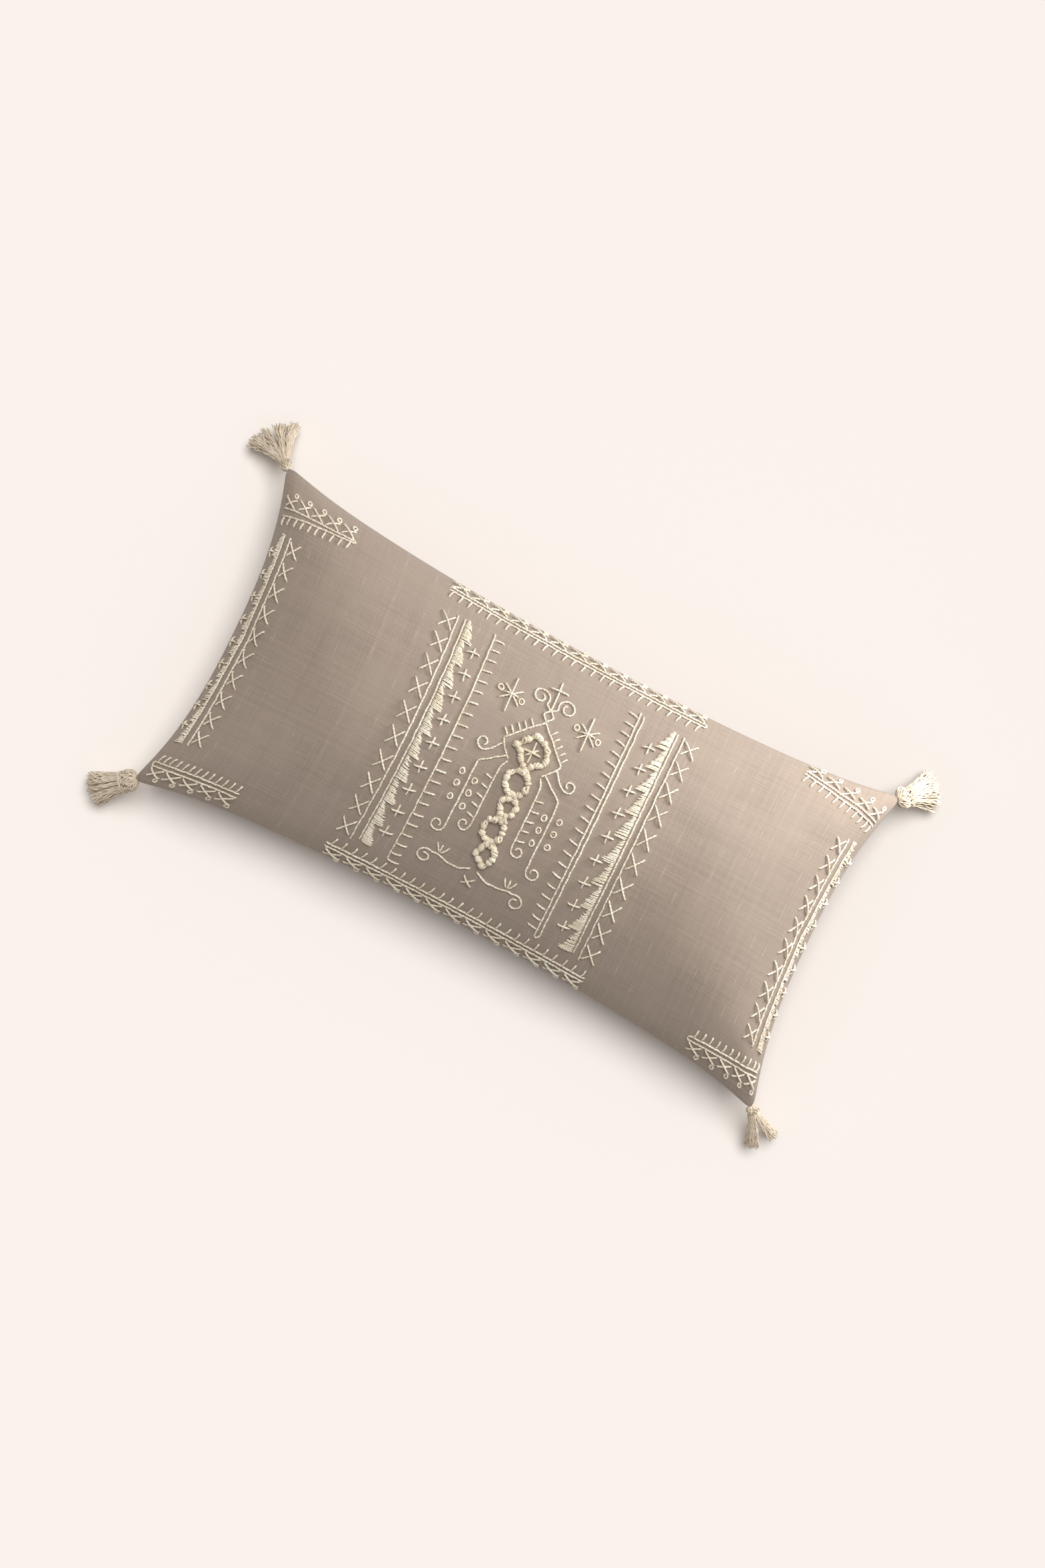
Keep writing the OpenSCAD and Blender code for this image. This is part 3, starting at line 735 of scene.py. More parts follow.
# %% Reading the front by its flat places
def surface_grid(bm):
    """Points and outward directions of a side by rows and columns of its flat cloth."""
    uv = bm.loops.layers.uv["cloth"]
    grid = np.zeros((2 * ROWS + 1, 2 * COLUMNS + 1, 3))
    for face in bm.faces:
        for loop in face.loops:
            place = loop[uv].uv
            column = round((place.x / FLAT[0] + 0.5) * 2 * COLUMNS)
            row = round((place.y / FLAT[1] + 0.5) * 2 * ROWS)
            grid[row, column] = loop.vert.co
    along = np.gradient(grid, axis=1)
    across = np.gradient(grid, axis=0)
    out = np.cross(along, across)
    return grid, out / np.linalg.norm(out, axis=2, keepdims=True)


front_grid, front_out = surface_grid(front_form)
print("front top", round(float(front_grid[:, :, 2].max()), 4))

# %% The front, the back and the strip below the zip
front = make_piece("front_cover", front_form, linen_material, "cover")
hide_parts("front_panel")
thicken(front)

SLOT_IN_PLAN = ZIP_SLOT * math.cos(ZIP_TILT)


def cut(bm, place, direction):
    """Divides the faces of a form along a plane."""
    everything = bm.verts[:] + bm.edges[:] + bm.faces[:]
    bmesh.ops.bisect_plane(bm, geom=everything, dist=1e-6, plane_co=place, plane_no=direction)


def remove_faces(bm, unwanted):
    """Deletes the faces whose middle is unwanted."""
    faces = [f for f in bm.faces if unwanted(f.calc_center_median())]
    bmesh.ops.delete(bm, geom=faces, context="FACES")


for offset in (-SLOT_IN_PLAN, 0, SLOT_IN_PLAN):
    cut(back_form, (0, ZIP_LINE + offset, 0), (0, 1, 0))
for end in (-ZIP_HALF, ZIP_HALF):
    cut(back_form, (end, 0, 0), (1, 0, 0))
remove_faces(back_form, lambda at: abs(at.x) < ZIP_HALF and abs(at.y - ZIP_LINE) < SLOT_IN_PLAN)
strip_form = back_form.copy()
remove_faces(strip_form, lambda at: at.y > ZIP_LINE)
remove_faces(back_form, lambda at: at.y < ZIP_LINE)
back = make_piece("back_cover", back_form, linen_material, "cover")
strip = make_piece("back_strip", strip_form, linen_material, "cover")
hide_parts("back_panel")
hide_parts("back_placket")
for panel in (back, strip):
    thicken(panel)
print("panels", front.name, back.name, strip.name)

# %% [markdown]
# ## The insert
# A pillow's filling sits in a casing of its own, the insert, which comes out through the zip.
# It is the same form a little smaller, and it gives the zip room.

# %% The insert
INSERT_GAP, ZIP_ROOM = 2.2 * MM, 6 * MM
INSERT_LONG, INSERT_WIDE = 0.986, 0.972

front_points = as_grid(laid, 1)[0]
back_points, row, column, _ = as_grid(laid, -1)
depth = np.maximum(front_points[:, :, 2] - back_points[:, :, 2], 0)[row, column]
bag.normal_update()
inward = [v.normal.copy() for v in bag.verts]
for vert, normal, thick, flat in zip(bag.verts, inward, depth, flat_places):
    near_zip = share(1 - abs(vert.co.y - ZIP_LINE) / 0.04) * share((0.21 - abs(vert.co.x)) / 0.02)
    vert.co -= normal * min(INSERT_GAP, 0.3 * thick)
    vert.co.x *= INSERT_LONG
    vert.co.y *= INSERT_WIDE
    if flat[2] < 0:
        vert.co.z += min(ZIP_ROOM, 0.3 * thick) * near_zip
insert = make_piece("pillow_insert", bag, casing_material, "cover")
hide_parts("insert_front", "insert_back", "filling")
print("insert", len(insert.data.vertices), "points")

# %% [markdown]
# ## Strands
# Thread, yarn and cord are all the same kind of shape: a line with a small round section.
# Blender's curve makes that: it sweeps a second curve, the profile, along the first.
# Two-ply thread has two humps in its section, and turning that section along the line with the
# points' tilt gives the twist. The curve is then made a mesh.

# %% Profiles and the sweep
def profile_curve(name, hump):
    """A closed section of radius 1 with two humps; hump is how deep the waist is."""
    curve = bpy.data.curves.new(name, "CURVE")
    spline = curve.splines.new("POLY")
    spline.points.add(7)
    for k, point in enumerate(spline.points):
        turn = 2 * math.pi * k / 8
        radius = 1 - hump * math.sin(turn) ** 2
        point.co = (radius * math.cos(turn), radius * math.sin(turn), 0, 1)
    spline.use_cyclic_u = True
    return add_object(name, curve)


two_ply = profile_curve("two-ply section", 0.3)
round_cord = profile_curve("round section", 0.06)


def sweep(name, strands, section, material, body):
    """One piece from strands, each (points, radii, tilts, closed), in metres and radians."""
    curve = bpy.data.curves.new(name, "CURVE")
    curve.dimensions = "3D"
    curve.twist_mode = "MINIMUM"
    curve.bevel_mode = "OBJECT"
    curve.bevel_object = section
    curve.use_fill_caps = True
    for points, radii, tilts, closed in strands:
        spline = curve.splines.new("POLY")
        spline.points.add(len(points) - 1)
        four = np.concatenate([points, np.ones((len(points), 1))], axis=1)
        spline.points.foreach_set("co", four.astype(np.float32).ravel())
        spline.points.foreach_set("radius", np.broadcast_to(radii, len(points)).astype(np.float32))
        spline.points.foreach_set("tilt", np.broadcast_to(tilts, len(points)).astype(np.float32))
        spline.use_cyclic_u = closed
    line = add_object(name + " line", curve)
    swept = bpy.data.meshes.new_from_object(evaluated(line))
    bpy.data.objects.remove(line)
    bm = bmesh.new()
    bm.from_mesh(swept)
    bpy.data.meshes.remove(swept)
    bmesh.ops.remove_doubles(bm, verts=bm.verts, dist=1e-6)
    bmesh.ops.recalc_face_normals(bm, faces=bm.faces)
    piece = make_piece(name, bm, material, body)
    print(name, len(strands), "strands", 2 * len(piece.data.polygons), "triangles")
    return piece


# %% [markdown]
# ## Laying stitches on the cloth
# Every stitch is planned flat, in millimetres from the middle of the front, as an embroiderer
# marks cloth, and is then carried to the filled front by its row and column. A stitch comes up
# through the cloth, runs over it and goes down again, and no two are quite alike.

# %% From flat places to the front
THREAD = 1.05
STEP = 0.95
PLY_TURN = 6.2
STITCH_LENGTH = 6.5
hand = random.Random(11)


def over_cloth(places, heights):
    """Points in metres at heights in millimetres above flat places in millimetres."""
    places = np.asarray(places, float) * MM
    c = np.clip((places[:, 0] / FLAT[0] + 0.5) * 2 * COLUMNS, 0, 2 * COLUMNS - 1e-6)
    r = np.clip((places[:, 1] / FLAT[1] + 0.5) * 2 * ROWS, 0, 2 * ROWS - 1e-6)
    c0, r0 = c.astype(int), r.astype(int)
    fc, fr = (c - c0)[:, None], (r - r0)[:, None]

    def between(grid):
        low = grid[r0, c0] * (1 - fc) + grid[r0, c0 + 1] * fc
        high = grid[r0 + 1, c0] * (1 - fc) + grid[r0 + 1, c0 + 1] * fc
        return low * (1 - fr) + high * fr

    return between(front_grid) + between(front_out) * np.asarray(heights)[:, None] * MM


def spaced_along(path, step):
    """Places every step millimetres along a path, and how far along each is."""
    path = np.asarray(path, float)
    legs = np.linalg.norm(np.diff(path, axis=0), axis=1)
    reach = np.concatenate([[0], np.cumsum(legs)])
    at = np.linspace(0, reach[-1], max(5, round(reach[-1] / step) + 1))
    return np.stack([np.interp(at, reach, path[:, k]) for k in (0, 1)], axis=1), at


def rounded(places, passes=2):
    """Places with their corners eased and their ends kept."""
    for _ in range(passes):
        places[1:-1] = (places[:-2] + 2 * places[1:-1] + places[2:]) / 4
    return places


def uneven(places, amount):
    """The small wandering of a hand-guided thread."""
    phase = hand.uniform(0, 50)
    spots = [(x * 0.16, y * 0.16) for x, y in places]
    drift = [[noise.noise(Vector((*spot, phase + k))) for k in (0, 9)] for spot in spots]
    return places + amount * np.array(drift)


# %% One stitch and one line of stitches
def diving(lift, ends):
    """Heights over the cloth that go through it at both ends; ends is how far the nearer is."""
    return lift - (lift + 0.9) * np.exp(-((ends / 0.75) ** 2))


def stitch(start_at, end_at, thick=THREAD, over=0.0, arch=0.35):
    """One straight stitch, which rises from the cloth and dives at both ends."""
    jitter = [hand.uniform(-0.35, 0.35) for _ in range(4)]
    first = np.array(start_at, float) + jitter[:2]
    last = np.array(end_at, float) + jitter[2:]
    places, at = spaced_along([first, last], STEP)
    along = at / at[-1]
    side = np.array([-(last - first)[1], (last - first)[0]]) / at[-1]
    places = places + np.outer(np.sin(math.pi * along) * hand.uniform(-0.4, 0.4), side)
    ends = np.minimum(at, at[-1] - at)
    hump = np.sin(math.pi * along)
    heights = diving(0.78 * thick + over * hump**0.5 + arch * hump, ends)
    size = thick * hand.uniform(0.92, 1.08)
    radii = size * (1 - 0.25 * np.exp(-((ends / 0.9) ** 2)))
    tilts = at / PLY_TURN * 2 * math.pi + hand.uniform(0, 6)
    return over_cloth(places, heights), radii * MM, tilts, False


def stitched_line(path):
    """A line of stitches end to end, seen as one thread that is pinched where they meet."""
    places, at = spaced_along(path, STEP)
    places = uneven(rounded(places), 0.55)
    ends = np.minimum(at, at[-1] - at)
    phase = hand.uniform(0, 1)
    pinch = np.abs(np.cos(math.pi * (at / STITCH_LENGTH + phase))) ** 6
    heights = diving(0.85 * THREAD - 0.3 * pinch, ends)
    radii = THREAD * (1.04 - 0.2 * pinch)
    tilts = at / PLY_TURN * 2 * math.pi + hand.uniform(0, 6)
    return over_cloth(places, heights), radii * MM, tilts, False


# %% Crosses, ring knots and satin teeth
def cross(s, t, wide, high):
    """Two stitches that cross, the second one over the first."""
    a, b = wide / 2, high / 2
    return [
        stitch((s - a, t - b), (s + a, t + b)),
        stitch((s - a, t + b), (s + a, t - b), over=1.1),
    ]


def plus(s, t, size):
    """An upright stitch with one across it."""
    return [
        stitch((s + hand.uniform(-1, 1), t - size / 2), (s, t + size / 2)),
        stitch((s - size / 2, t - 1), (s + size / 2, t + 1), over=1.1),
    ]


def ring_knot(s, t, radius):
    """A small loop of thread drawn round and tied down over its start."""
    turn = np.linspace(0, 2.25 * math.pi, 20) + hand.uniform(0, 6)
    slim = hand.uniform(0.78, 0.95)
    swell = radius * (1 - 0.32 * np.linspace(0, 1, 20) ** 3)
    places = np.stack([s + slim * swell * np.cos(turn), t + swell * np.sin(turn)], axis=1)
    heights = 0.6 + 0.75 * np.linspace(0, 1, 20) ** 2
    heights[0] = heights[-1] = -0.6
    loop = (over_cloth(places, heights), 0.88 * MM, turn * 1.5, False)
    return [loop, stitch((s - 0.5, t - 0.7), (s + 0.5, t + 0.7), thick=0.6)]


def satin_tooth(s, top, high, side, root, deep):
    """Close strokes from a line, longer and longer down the tooth."""
    strokes = []
    count = round(high / 1.35)
    for k in range(count):
        down = (k + 0.5) / count
        reach = root + (deep - root) * down**1.3 + hand.uniform(-1.1, 1.1)
        t = top - high * down
        first, last = (s + side * 0.6, t + 0.5), (s + side * reach, t - 0.6)
        strokes.append(stitch(first, last, thick=0.9, arch=0.7))
    return strokes


# %% [markdown]
# ## Columns of the embroidery
# Two groups of columns run across the pillow, each with a lattice of crosses, a satin column
# with teeth, a column of small crosses and a comb.

# %% Column makers
COLUMN_TOP, COLUMN_FOOT = 106, -114


def steps(first, last, count):
    return [first + (last - first) * k / (count - 1) for k in range(count)]


def comb(s, side, foot):
    strands = [stitched_line([(s, COLUMN_TOP + 2), (s, COLUMN_FOOT)])]
    for t in steps(COLUMN_TOP - 4, COLUMN_FOOT + 8, 21):
        strands.append(stitch((s + side * 0.6, t - 0.8), (s + side * 10, t + 0.8)))
    if foot:
        strands.append(stitch((s, COLUMN_FOOT), (s + side * 11, COLUMN_FOOT)))
    return strands


def satin_column(s, side, top, foot, count, root, deep):
    strands = [stitched_line([(s, top), (s, foot)])]
    high = (top - foot) / count
    for k in range(count):
        strands += satin_tooth(s + side * 0.8, top - high * k, high, side, root, deep)
    return strands


def lattice(s, side, top, foot, count, wide):
    strands = [stitched_line([(s, top), (s, foot)])]
    high = (top - foot) / count
    for k in range(count):
        strands += cross(s + side * (wide / 2 + 1.6), top - high * (k + 0.5), wide, high * 0.7)
    return strands


def small_crosses(s, top, foot, count, size):
    return [strand for t in steps(top, foot, count) for strand in plus(s, t, size)]


# %% Sewing a group of stitches that stands for its plain version in the frame
def sew(node, strands, section=two_ply, material=thread_material):
    """One piece of embroidery; its name is the frame's with _stitches."""
    piece = sweep(node + "_stitches", strands, section, material, "cover")
    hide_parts(node)
    return piece


sew("left_lattice", lattice(-111, -1, COLUMN_TOP, COLUMN_FOOT, 10, 12.5))
sew("left_satin", satin_column(-104.5, 1, COLUMN_TOP, COLUMN_FOOT + 4, 10, 5, 12))
sew("left_crosses", small_crosses(-88, 79, -91, 9, 12))
sew("left_comb", comb(-76.8, 1, True))
hook = [(63.6, COLUMN_TOP), (63.6, COLUMN_FOOT + 2)]
hook += [(61.6, COLUMN_FOOT - 1), (59.7, COLUMN_FOOT + 1)]
sew("right_comb", comb(59.7, -1, False) + [stitched_line(hook)])
sew("right_crosses", small_crosses(78, 79, -91, 9, 12))
sew("right_satin", satin_column(95, -1, COLUMN_TOP, COLUMN_FOOT + 4, 10, 5, 13))
sew("right_lattice", lattice(101, 1, COLUMN_TOP, COLUMN_FOOT, 10, 12.5))

# %% [markdown]
# ## Borders and corner bands
# Each is a pair of lines with crosses and ring knots on the outer side and ticks on the inner
# side. The ends of the pillow have a toothed border of their own.

# %% Bands
def band(first, last, gaps, out, crosses, ticks, closed_end=0):
    """A pair of lines from first to last, with its trimmings; out is +1 if the edge is up."""
    first, last = np.array(first, float), np.array(last, float)
    low_first = first - [0, out * gaps[0]]
    low_last = last - [0, out * gaps[1]]
    strands = []
    if closed_end < 0:
        bend = first - [1.5, out * gaps[0] / 2]
        strands.append(stitched_line([last, first, bend, low_first, low_last]))
    elif closed_end > 0:
        bend = last + [1.5, -out * gaps[1] / 2]
        strands.append(stitched_line([first, last, bend, low_last, low_first]))
    else:
        strands += [stitched_line([first, last]), stitched_line([low_first, low_last])]
    wide = (last - first)[0] / crosses
    for k in range(crosses):
        s, t = first + (last - first) * (k + 0.5) / crosses
        strands += cross(s, t + out * 6.4, 0.86 * wide, 10)
        strands += ring_knot(s + 0.3 * wide, t + out * 14.2, 2.3)
    for k in range(ticks):
        s, t = low_first + (low_last - low_first) * (k + 0.5) / ticks
        strands.append(stitch((s, t - out * 0.4), (s - out * 2.5, t - out * 9)))
    return strands


sew("top_border", band((-126, 132.0), (113, 132.0), (4.4, 4.4), 1, 13, 27, 1))
sew("bottom_border", band((-126, -133.0), (113, -133.0), (4.6, 4.6), -1, 13, 27))
sew("top_left_band", band((-294, 109), (-214, 118), (7, 2.2), 1, 5, 10, 1))
sew("top_right_band", band((204, 135), (294, 112), (4.6, 4.6), 1, 5, 11))
sew("bottom_left_band", band((-294, -127), (-208, -127), (4.8, 4.8), -1, 5, 13, -1))
sew("bottom_right_band", band((212, -127), (295, -119), (4.6, 4.6), -1, 5, 11, -1))


# %% End borders
def end_border(side):
    strands = satin_column(side * 283, side, 88, -98, 9, 2.5, 8)
    strands += lattice(side * 275, -side, 88, -98, 10, 12)
    strands += small_crosses(side * 295.5, 70, -82, 9, 9)
    return strands


sew("left_end_border", end_border(-1))
sew("right_end_border", end_border(1))

# %% [markdown]
# ## The medallion
# The middle of the front has a symmetrical folk figure of scrolls, steps and stars, with a
# chain of thick knotted cord down its middle. It is planned on one side and mirrored.

# %% Planning the medallion
MIDDLE = -9.5


def both_sides(path):
    """A path planned from the middle line outwards, and its mirror image."""
    path = np.array(path, float)
    return [path * [side, 1] + [MIDDLE, 0] for side in (1, -1)]


def scroll(path, centre, radius, begin, turn):
    """A path that ends in a scroll round a centre, turning from begin with a falling radius."""
    curl = []
    for part in np.linspace(0, 1, 21):
        angle = math.radians(begin + turn * part)
        reach = radius * (1 - 0.66 * part)
        curl.append((centre[0] + reach * math.cos(angle), centre[1] + reach * math.sin(angle)))
    return list(path) + curl


def twin_stitches(start_at, end_at):
    """One stitch on each side of the middle line."""
    ends = zip(both_sides([start_at]), both_sides([end_at]))
    return [stitch(a[0], b[0]) for a, b in ends]


outlines = [
    scroll([(0, 66.5), (3, 68.5)], (12.5, 75), 8.6, 215, -470),
    [(0, 67), (4.8, 61.5), (0, 55.5)],
    [(0, 55), (27, 27)],
    [(27, 27), (24, 21.5), (15.5, 12)],
    scroll([(25.5, 22.5), (34, 12)], (40.5, 15.5), 6.6, 205, 400),
    scroll([(18, 14.5), (38, 0), (38.5, -12), (38.5, -58)], (45.2, -63), 6.7, 180, 400),
    scroll([(15.5, 11), (19, 4), (19.5, -10), (19.5, -48)], (25.4, -52.5), 5.9, 180, 380),
    scroll([(3, -85), (13, -90), (24, -89.5), (34, -87)], (42, -94), 7.6, 130, -440),
]
figure = [stitched_line(path) for outline in outlines for path in both_sides(outline)]
for k in range(5):
    figure += twin_stitches((8 + 4.3 * k, 47 - 4.4 * k), (12.6 + 4.3 * k, 53 - 4.4 * k))
    figure += twin_stitches((20.2, -8 - 9 * k), (27.6, -6.5 - 9 * k))
for lean in (-1, 0, 1):
    figure += twin_stitches((31.5 + 0.5 * lean, -86), (31.5 + 5.5 * lean, -77.5))
figure.append(stitch((MIDDLE, 66), (MIDDLE, 97)))
figure.append(stitch((MIDDLE - 8.5, 86), (MIDDLE + 8.5, 88), over=1.1))
figure += cross(MIDDLE, -97, 10, 8)
sew("medallion_lines", figure)

# %% Rings and stars of the medallion
rings = []
for side in (-1, 1):
    for t in (-17, -28, -40):
        rings += ring_knot(MIDDLE + side * 33, t, 2.7)
    for t in (-14, -25, -37):
        rings += ring_knot(MIDDLE + side * 46, t, 2.7)
sew("medallion_rings", rings)

stars = []
for side in (-1, 1):
    s = MIDDLE + side * 36
    for turn in (40, 140):
        c, d = 11.5 * math.cos(math.radians(turn)), 11.5 * math.sin(math.radians(turn))
        stars.append(stitch((s - c, 63 - d), (s + c, 63 + d), over=0.5))
    stars.append(stitch((s, 46), (s, 80), over=1.4))
    stars.append(stitch((s - 7, 62.5), (s + 7, 63.5), over=1.8))
    for flank in (-1, 1):
        stars += ring_knot(s + flank * 10.5, 63 - flank * 1.5, 2.7)
sew("medallion_stars", stars)

# %% [markdown]
# ## Knotted cord
# The chain is a cord of bullion knots: threads wound round and round each other, laid in loops.
# Three strands wound round one path give it, with the winding swelling at every knot.

# %% The knotted chain
KNOT_APART, WINDING_TURN = 5.8, 4.8
THIN_RADIUS, KNOT_RADIUS = 0.7, 2.0
STRAND = 1.05


def knotted(path, seed):
    """Three strands wound round a path of flat places, swelling at each uneven knot."""
    places, at = spaced_along(path, 0.3)
    beat = at / KNOT_APART + 0.35 * np.array([noise.noise(Vector((a * 0.09, seed, 0.3))) for a in at])
    drift = [[noise.noise(Vector((a * 0.16, seed + k, 5.0))) for k in (0, 4)] for a in at]
    ease = np.minimum(1, np.minimum(at, at[-1] - at) / 4)[:, None]
    places = places + 3.4 * ease * np.array(drift)
    rough = np.array([noise.noise(Vector((a * 0.31, seed, 8.0))) for a in at])
    swell = np.clip(np.abs(np.sin(math.pi * beat)) ** 0.7 + 0.5 * rough, 0, 1.25)
    centre = over_cloth(places, 1.3 + 1.5 * swell)
    lead = np.gradient(centre, axis=0)
    lead /= np.linalg.norm(lead, axis=1, keepdims=True)
    up = over_cloth(places, np.full(len(at), 1.0)) - over_cloth(places, np.zeros(len(at)))
    up /= np.linalg.norm(up, axis=1, keepdims=True)
    side = np.cross(lead, up)
    radius = (THIN_RADIUS + (KNOT_RADIUS - THIN_RADIUS) * swell) * MM
    strands = []
    for start_turn in (0, 2.1, 4.2):
        turn = 2 * math.pi * (at / WINDING_TURN + 0.35 * beat + 0.5 * rough) + start_turn
        outward = np.cos(turn)[:, None] * side + np.sin(turn)[:, None] * up
        wound = centre + radius[:, None] * outward
        strands.append((wound, STRAND * (0.85 + 0.25 * swell) * MM, turn * 0.7, False))
    return strands


def loop_path(centre, wide, high, pointed):
    """A closed loop round a centre, an oval or a diamond with eased corners."""
    path = []
    for k in range(61):
        turn = 2 * math.pi * k / 60 + 0.5 * math.pi
        c, s = math.cos(turn), math.sin(turn)
        ease = 1 / (abs(c) ** 1.15 + abs(s) ** 1.15) ** (1 / 1.15) if pointed else 1
        path.append((centre[0] + wide * c * ease, centre[1] + high * s * ease))
    return path


chain = knotted(loop_path((MIDDLE, 26), 14.5, 15.5, True), 1.7)
links = ((-0.5, -2, 10.0, 9.6), (1.6, -23, 7.0, 8.2), (-0.6, -45, 8.4, 9.8), (2.8, -67, 7.0, 9.0))
for k, (s, t, wide, high) in enumerate(links):
    chain += knotted(loop_path((MIDDLE + s, t), wide, high, False), 4.1 + 3 * k)
for s, t in ((0, 9), (0.6, -13.5), (0.8, -34), (1, -56)):
    across_link = [(MIDDLE + s - 4.5, t + 1), (MIDDLE + s, t - 0.5), (MIDDLE + s + 4.5, t + 1)]
    chain += knotted(across_link, 9.3 + t)
chain.append(stitch((MIDDLE, 16), (MIDDLE, 36.5)))
chain.append(stitch((MIDDLE - 9, 26), (MIDDLE + 9, 26), over=1.1))
chain.append(stitch((MIDDLE - 5, 21), (MIDDLE + 5, 31), over=0.6))
sew("medallion_cord", chain, round_cord, cord_material)

# %% [markdown]
# ## Tassels
# A tassel is a hank of yarn folded over a loop, bound below the fold to make a head, and cut
# level. Its loop runs round a small bar of thread on the corner, so it swings and lifts there.
# The skirt lies on the surface in a fan, so its strands flare, wave and end on an arc.

# %% Where each tassel hangs
SLOPE = math.radians(38)
BAR_OUT = 2.4
LOOP_OUT = 5.7 * MM
CORNERS = {
    "top_left": (-1, 1, 140),
    "top_right": (1, 1, 40),
    "bottom_left": (-1, -1, 220),
    "bottom_right": (1, -1, -40),
}


def corner_frame(name):
    """Turns a place measured out from a corner's tip into the row frame."""
    along, across, yaw = CORNERS[name]
    tip_across = across * HALF_WIDTH
    tip_along = along * HALF_LENGTH - RACK * tip_across
    tip = Vector((tip_along, tip_across, SEAM_LEVEL - CORNER_DROOP))
    return Matrix.Translation(tip) @ Matrix.Rotation(math.radians(yaw), 4, "Z")


def tassel_frame(name):
    """The same for a place measured along the tassel from its loop."""
    outward = Matrix.Translation((LOOP_OUT, 0, 0))
    return corner_frame(name) @ outward @ Matrix.Rotation(SLOPE, 4, "Y")


def carried(matrix, points, floor=None):
    """Points in millimetres brought to the row frame, and kept above a floor if one is given."""
    placed = np.array([matrix @ Vector(p * MM) for p in np.asarray(points, float)])
    if floor is not None:
        placed[:, 2] = np.maximum(placed[:, 2], floor)
    return placed


# %% One tassel's skirt
FLATTENED = 0.72
YARN = 0.62
PLY_TURN_YARN = 5.0
COUNT = 240
SHAPE = ("seed", "fan", "parted", "depth", "neck", "start", "end")
TASSELS = {
    "top_left": (31, 28, 3, 7.0, 4.4, 3.5, 45),
    "top_right": (32, 20, 0, 7.5, 8.2, 7.5, 43),
    "bottom_left": (33, 12, 0, 7.5, 8.6, 7.5, 44),
    "bottom_right": (34, 9, 9, 6.5, 4.6, 1.5, 38),
}
TASSELS = {name: dict(zip(SHAPE, values)) for name, values in TASSELS.items()}


def cotton_piece(name, part, strands, stands_for):
    """One piece of a tassel, which stands for a plain one in the frame."""
    body = name + "_tassel"
    piece = sweep(name + part, strands, two_ply, tassel_material, body)
    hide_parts(name + stands_for)


def skirt_strand(rng, fan, depth, neck, parted, start, end):
    """One strand from the neck to the fan's arc, in the tassel's own millimetres."""
    angle = rng.uniform(0, 2 * math.pi)
    reach = rng.uniform(0.02, 1) ** 0.38
    across, up = reach * math.cos(angle), reach * math.sin(angle)
    lean = across * fan + math.copysign(parted, across)
    end = end - 1.5 + rng.uniform(-2.6, 1.2)
    out = np.linspace(0, 1, 30)
    radius = (end - start) * out
    swing = np.radians(lean) * out**0.35
    x = start + radius * np.cos(swing)
    y = neck * across + radius * np.sin(swing)
    z = FLATTENED * neck * up + up * (depth - 0.4 * neck) * out**0.6
    phase, pace = rng.uniform(0, 6), rng.uniform(0.4, 0.8)
    wave = (0.35 + 0.9 * out) * np.sin(radius * pace + phase) * rng.uniform(0.25, 0.8)
    lift = (0.2 + 0.6 * out) * np.sin(radius * pace * 0.8 + phase * 2) * rng.uniform(0.2, 0.6)
    return np.stack([x, y + wave, z + lift], axis=1), radius


def skirt(name, seed, **shape):
    """All the strands of one tassel below its binding."""
    rng = random.Random(seed)
    strands = []
    for _ in range(COUNT):
        points, at = skirt_strand(rng, **shape)
        size = YARN * rng.uniform(0.85, 1.2)
        taper = 1 - 0.6 * np.clip((at - at[-1] + 1.5) / 1.5, 0, 1)
        placed = carried(tassel_frame(name), points, floor=(size + 0.1) * MM)
        tilts = at / PLY_TURN_YARN * 2 * math.pi + rng.uniform(0, 6)
        strands.append((placed, size * taper * MM, tilts, False))
    cotton_piece(name, "_strands", strands, "_skirt")


for name, shape in TASSELS.items():
    skirt(name, **shape)


# %% Heads and bindings
HEAD_BEGIN = -5.6
CORE_LONG, CORE_WIDE, CORE_ON = 0.74, 0.86, 0.16


def head(name, neck, start):
    """Yarns drawn down over a core, from the corner to the binding, and the eye for the loop."""
    wide = neck + 0.5
    half_long = (start + 0.8 - HEAD_BEGIN) / 2
    middle = HEAD_BEGIN + half_long
    strands = []
    count = round(5.2 * wide)
    for k in range(count):
        down = np.linspace(0, 1, 16)
        polar = math.pi * (0.03 + 0.81 * down)
        out = wide * np.sin(polar) ** np.where(down < 0.58, 1.2, 0.8)
        out = np.where(down > 0.6, np.maximum(out, neck), out)
        x = middle - half_long * np.cos(polar) + 0.8 * down**3
        around = 2 * math.pi * k / count + 0.5 * np.sin(down * 3 + 1.7 * k)
        out = out + 0.7 * np.sin(down * 7 + 2.3 * k)
        y, z = out * np.cos(around), FLATTENED * out * np.sin(around)
        points = np.stack([x, y, z], axis=1)
        strands.append((carried(tassel_frame(name), points), 0.74 * MM, down * 14 + k, False))
    turn = np.linspace(0, 2 * math.pi, 25)[:-1]
    eye = np.stack([1.6 * np.cos(turn), 0 * turn, 1.6 * np.sin(turn)], axis=1)
    strands.append((carried(tassel_frame(name), eye), 0.45 * MM, turn * 2, True))
    cotton_piece(name, "_head_yarns", strands, "_head")
    core = bmesh.new()
    core_wide = CORE_WIDE * wide * MM
    stretched = Matrix.Diagonal((CORE_LONG * half_long * MM, core_wide, FLATTENED * core_wide, 1))
    centre = Matrix.Translation(((middle + CORE_ON * half_long) * MM, 0, 0))
    place = tassel_frame(name) @ centre @ stretched
    bmesh.ops.create_icosphere(core, subdivisions=3, radius=1, matrix=place)
    make_piece(name + "_head_core", core, tassel_material, name + "_tassel")


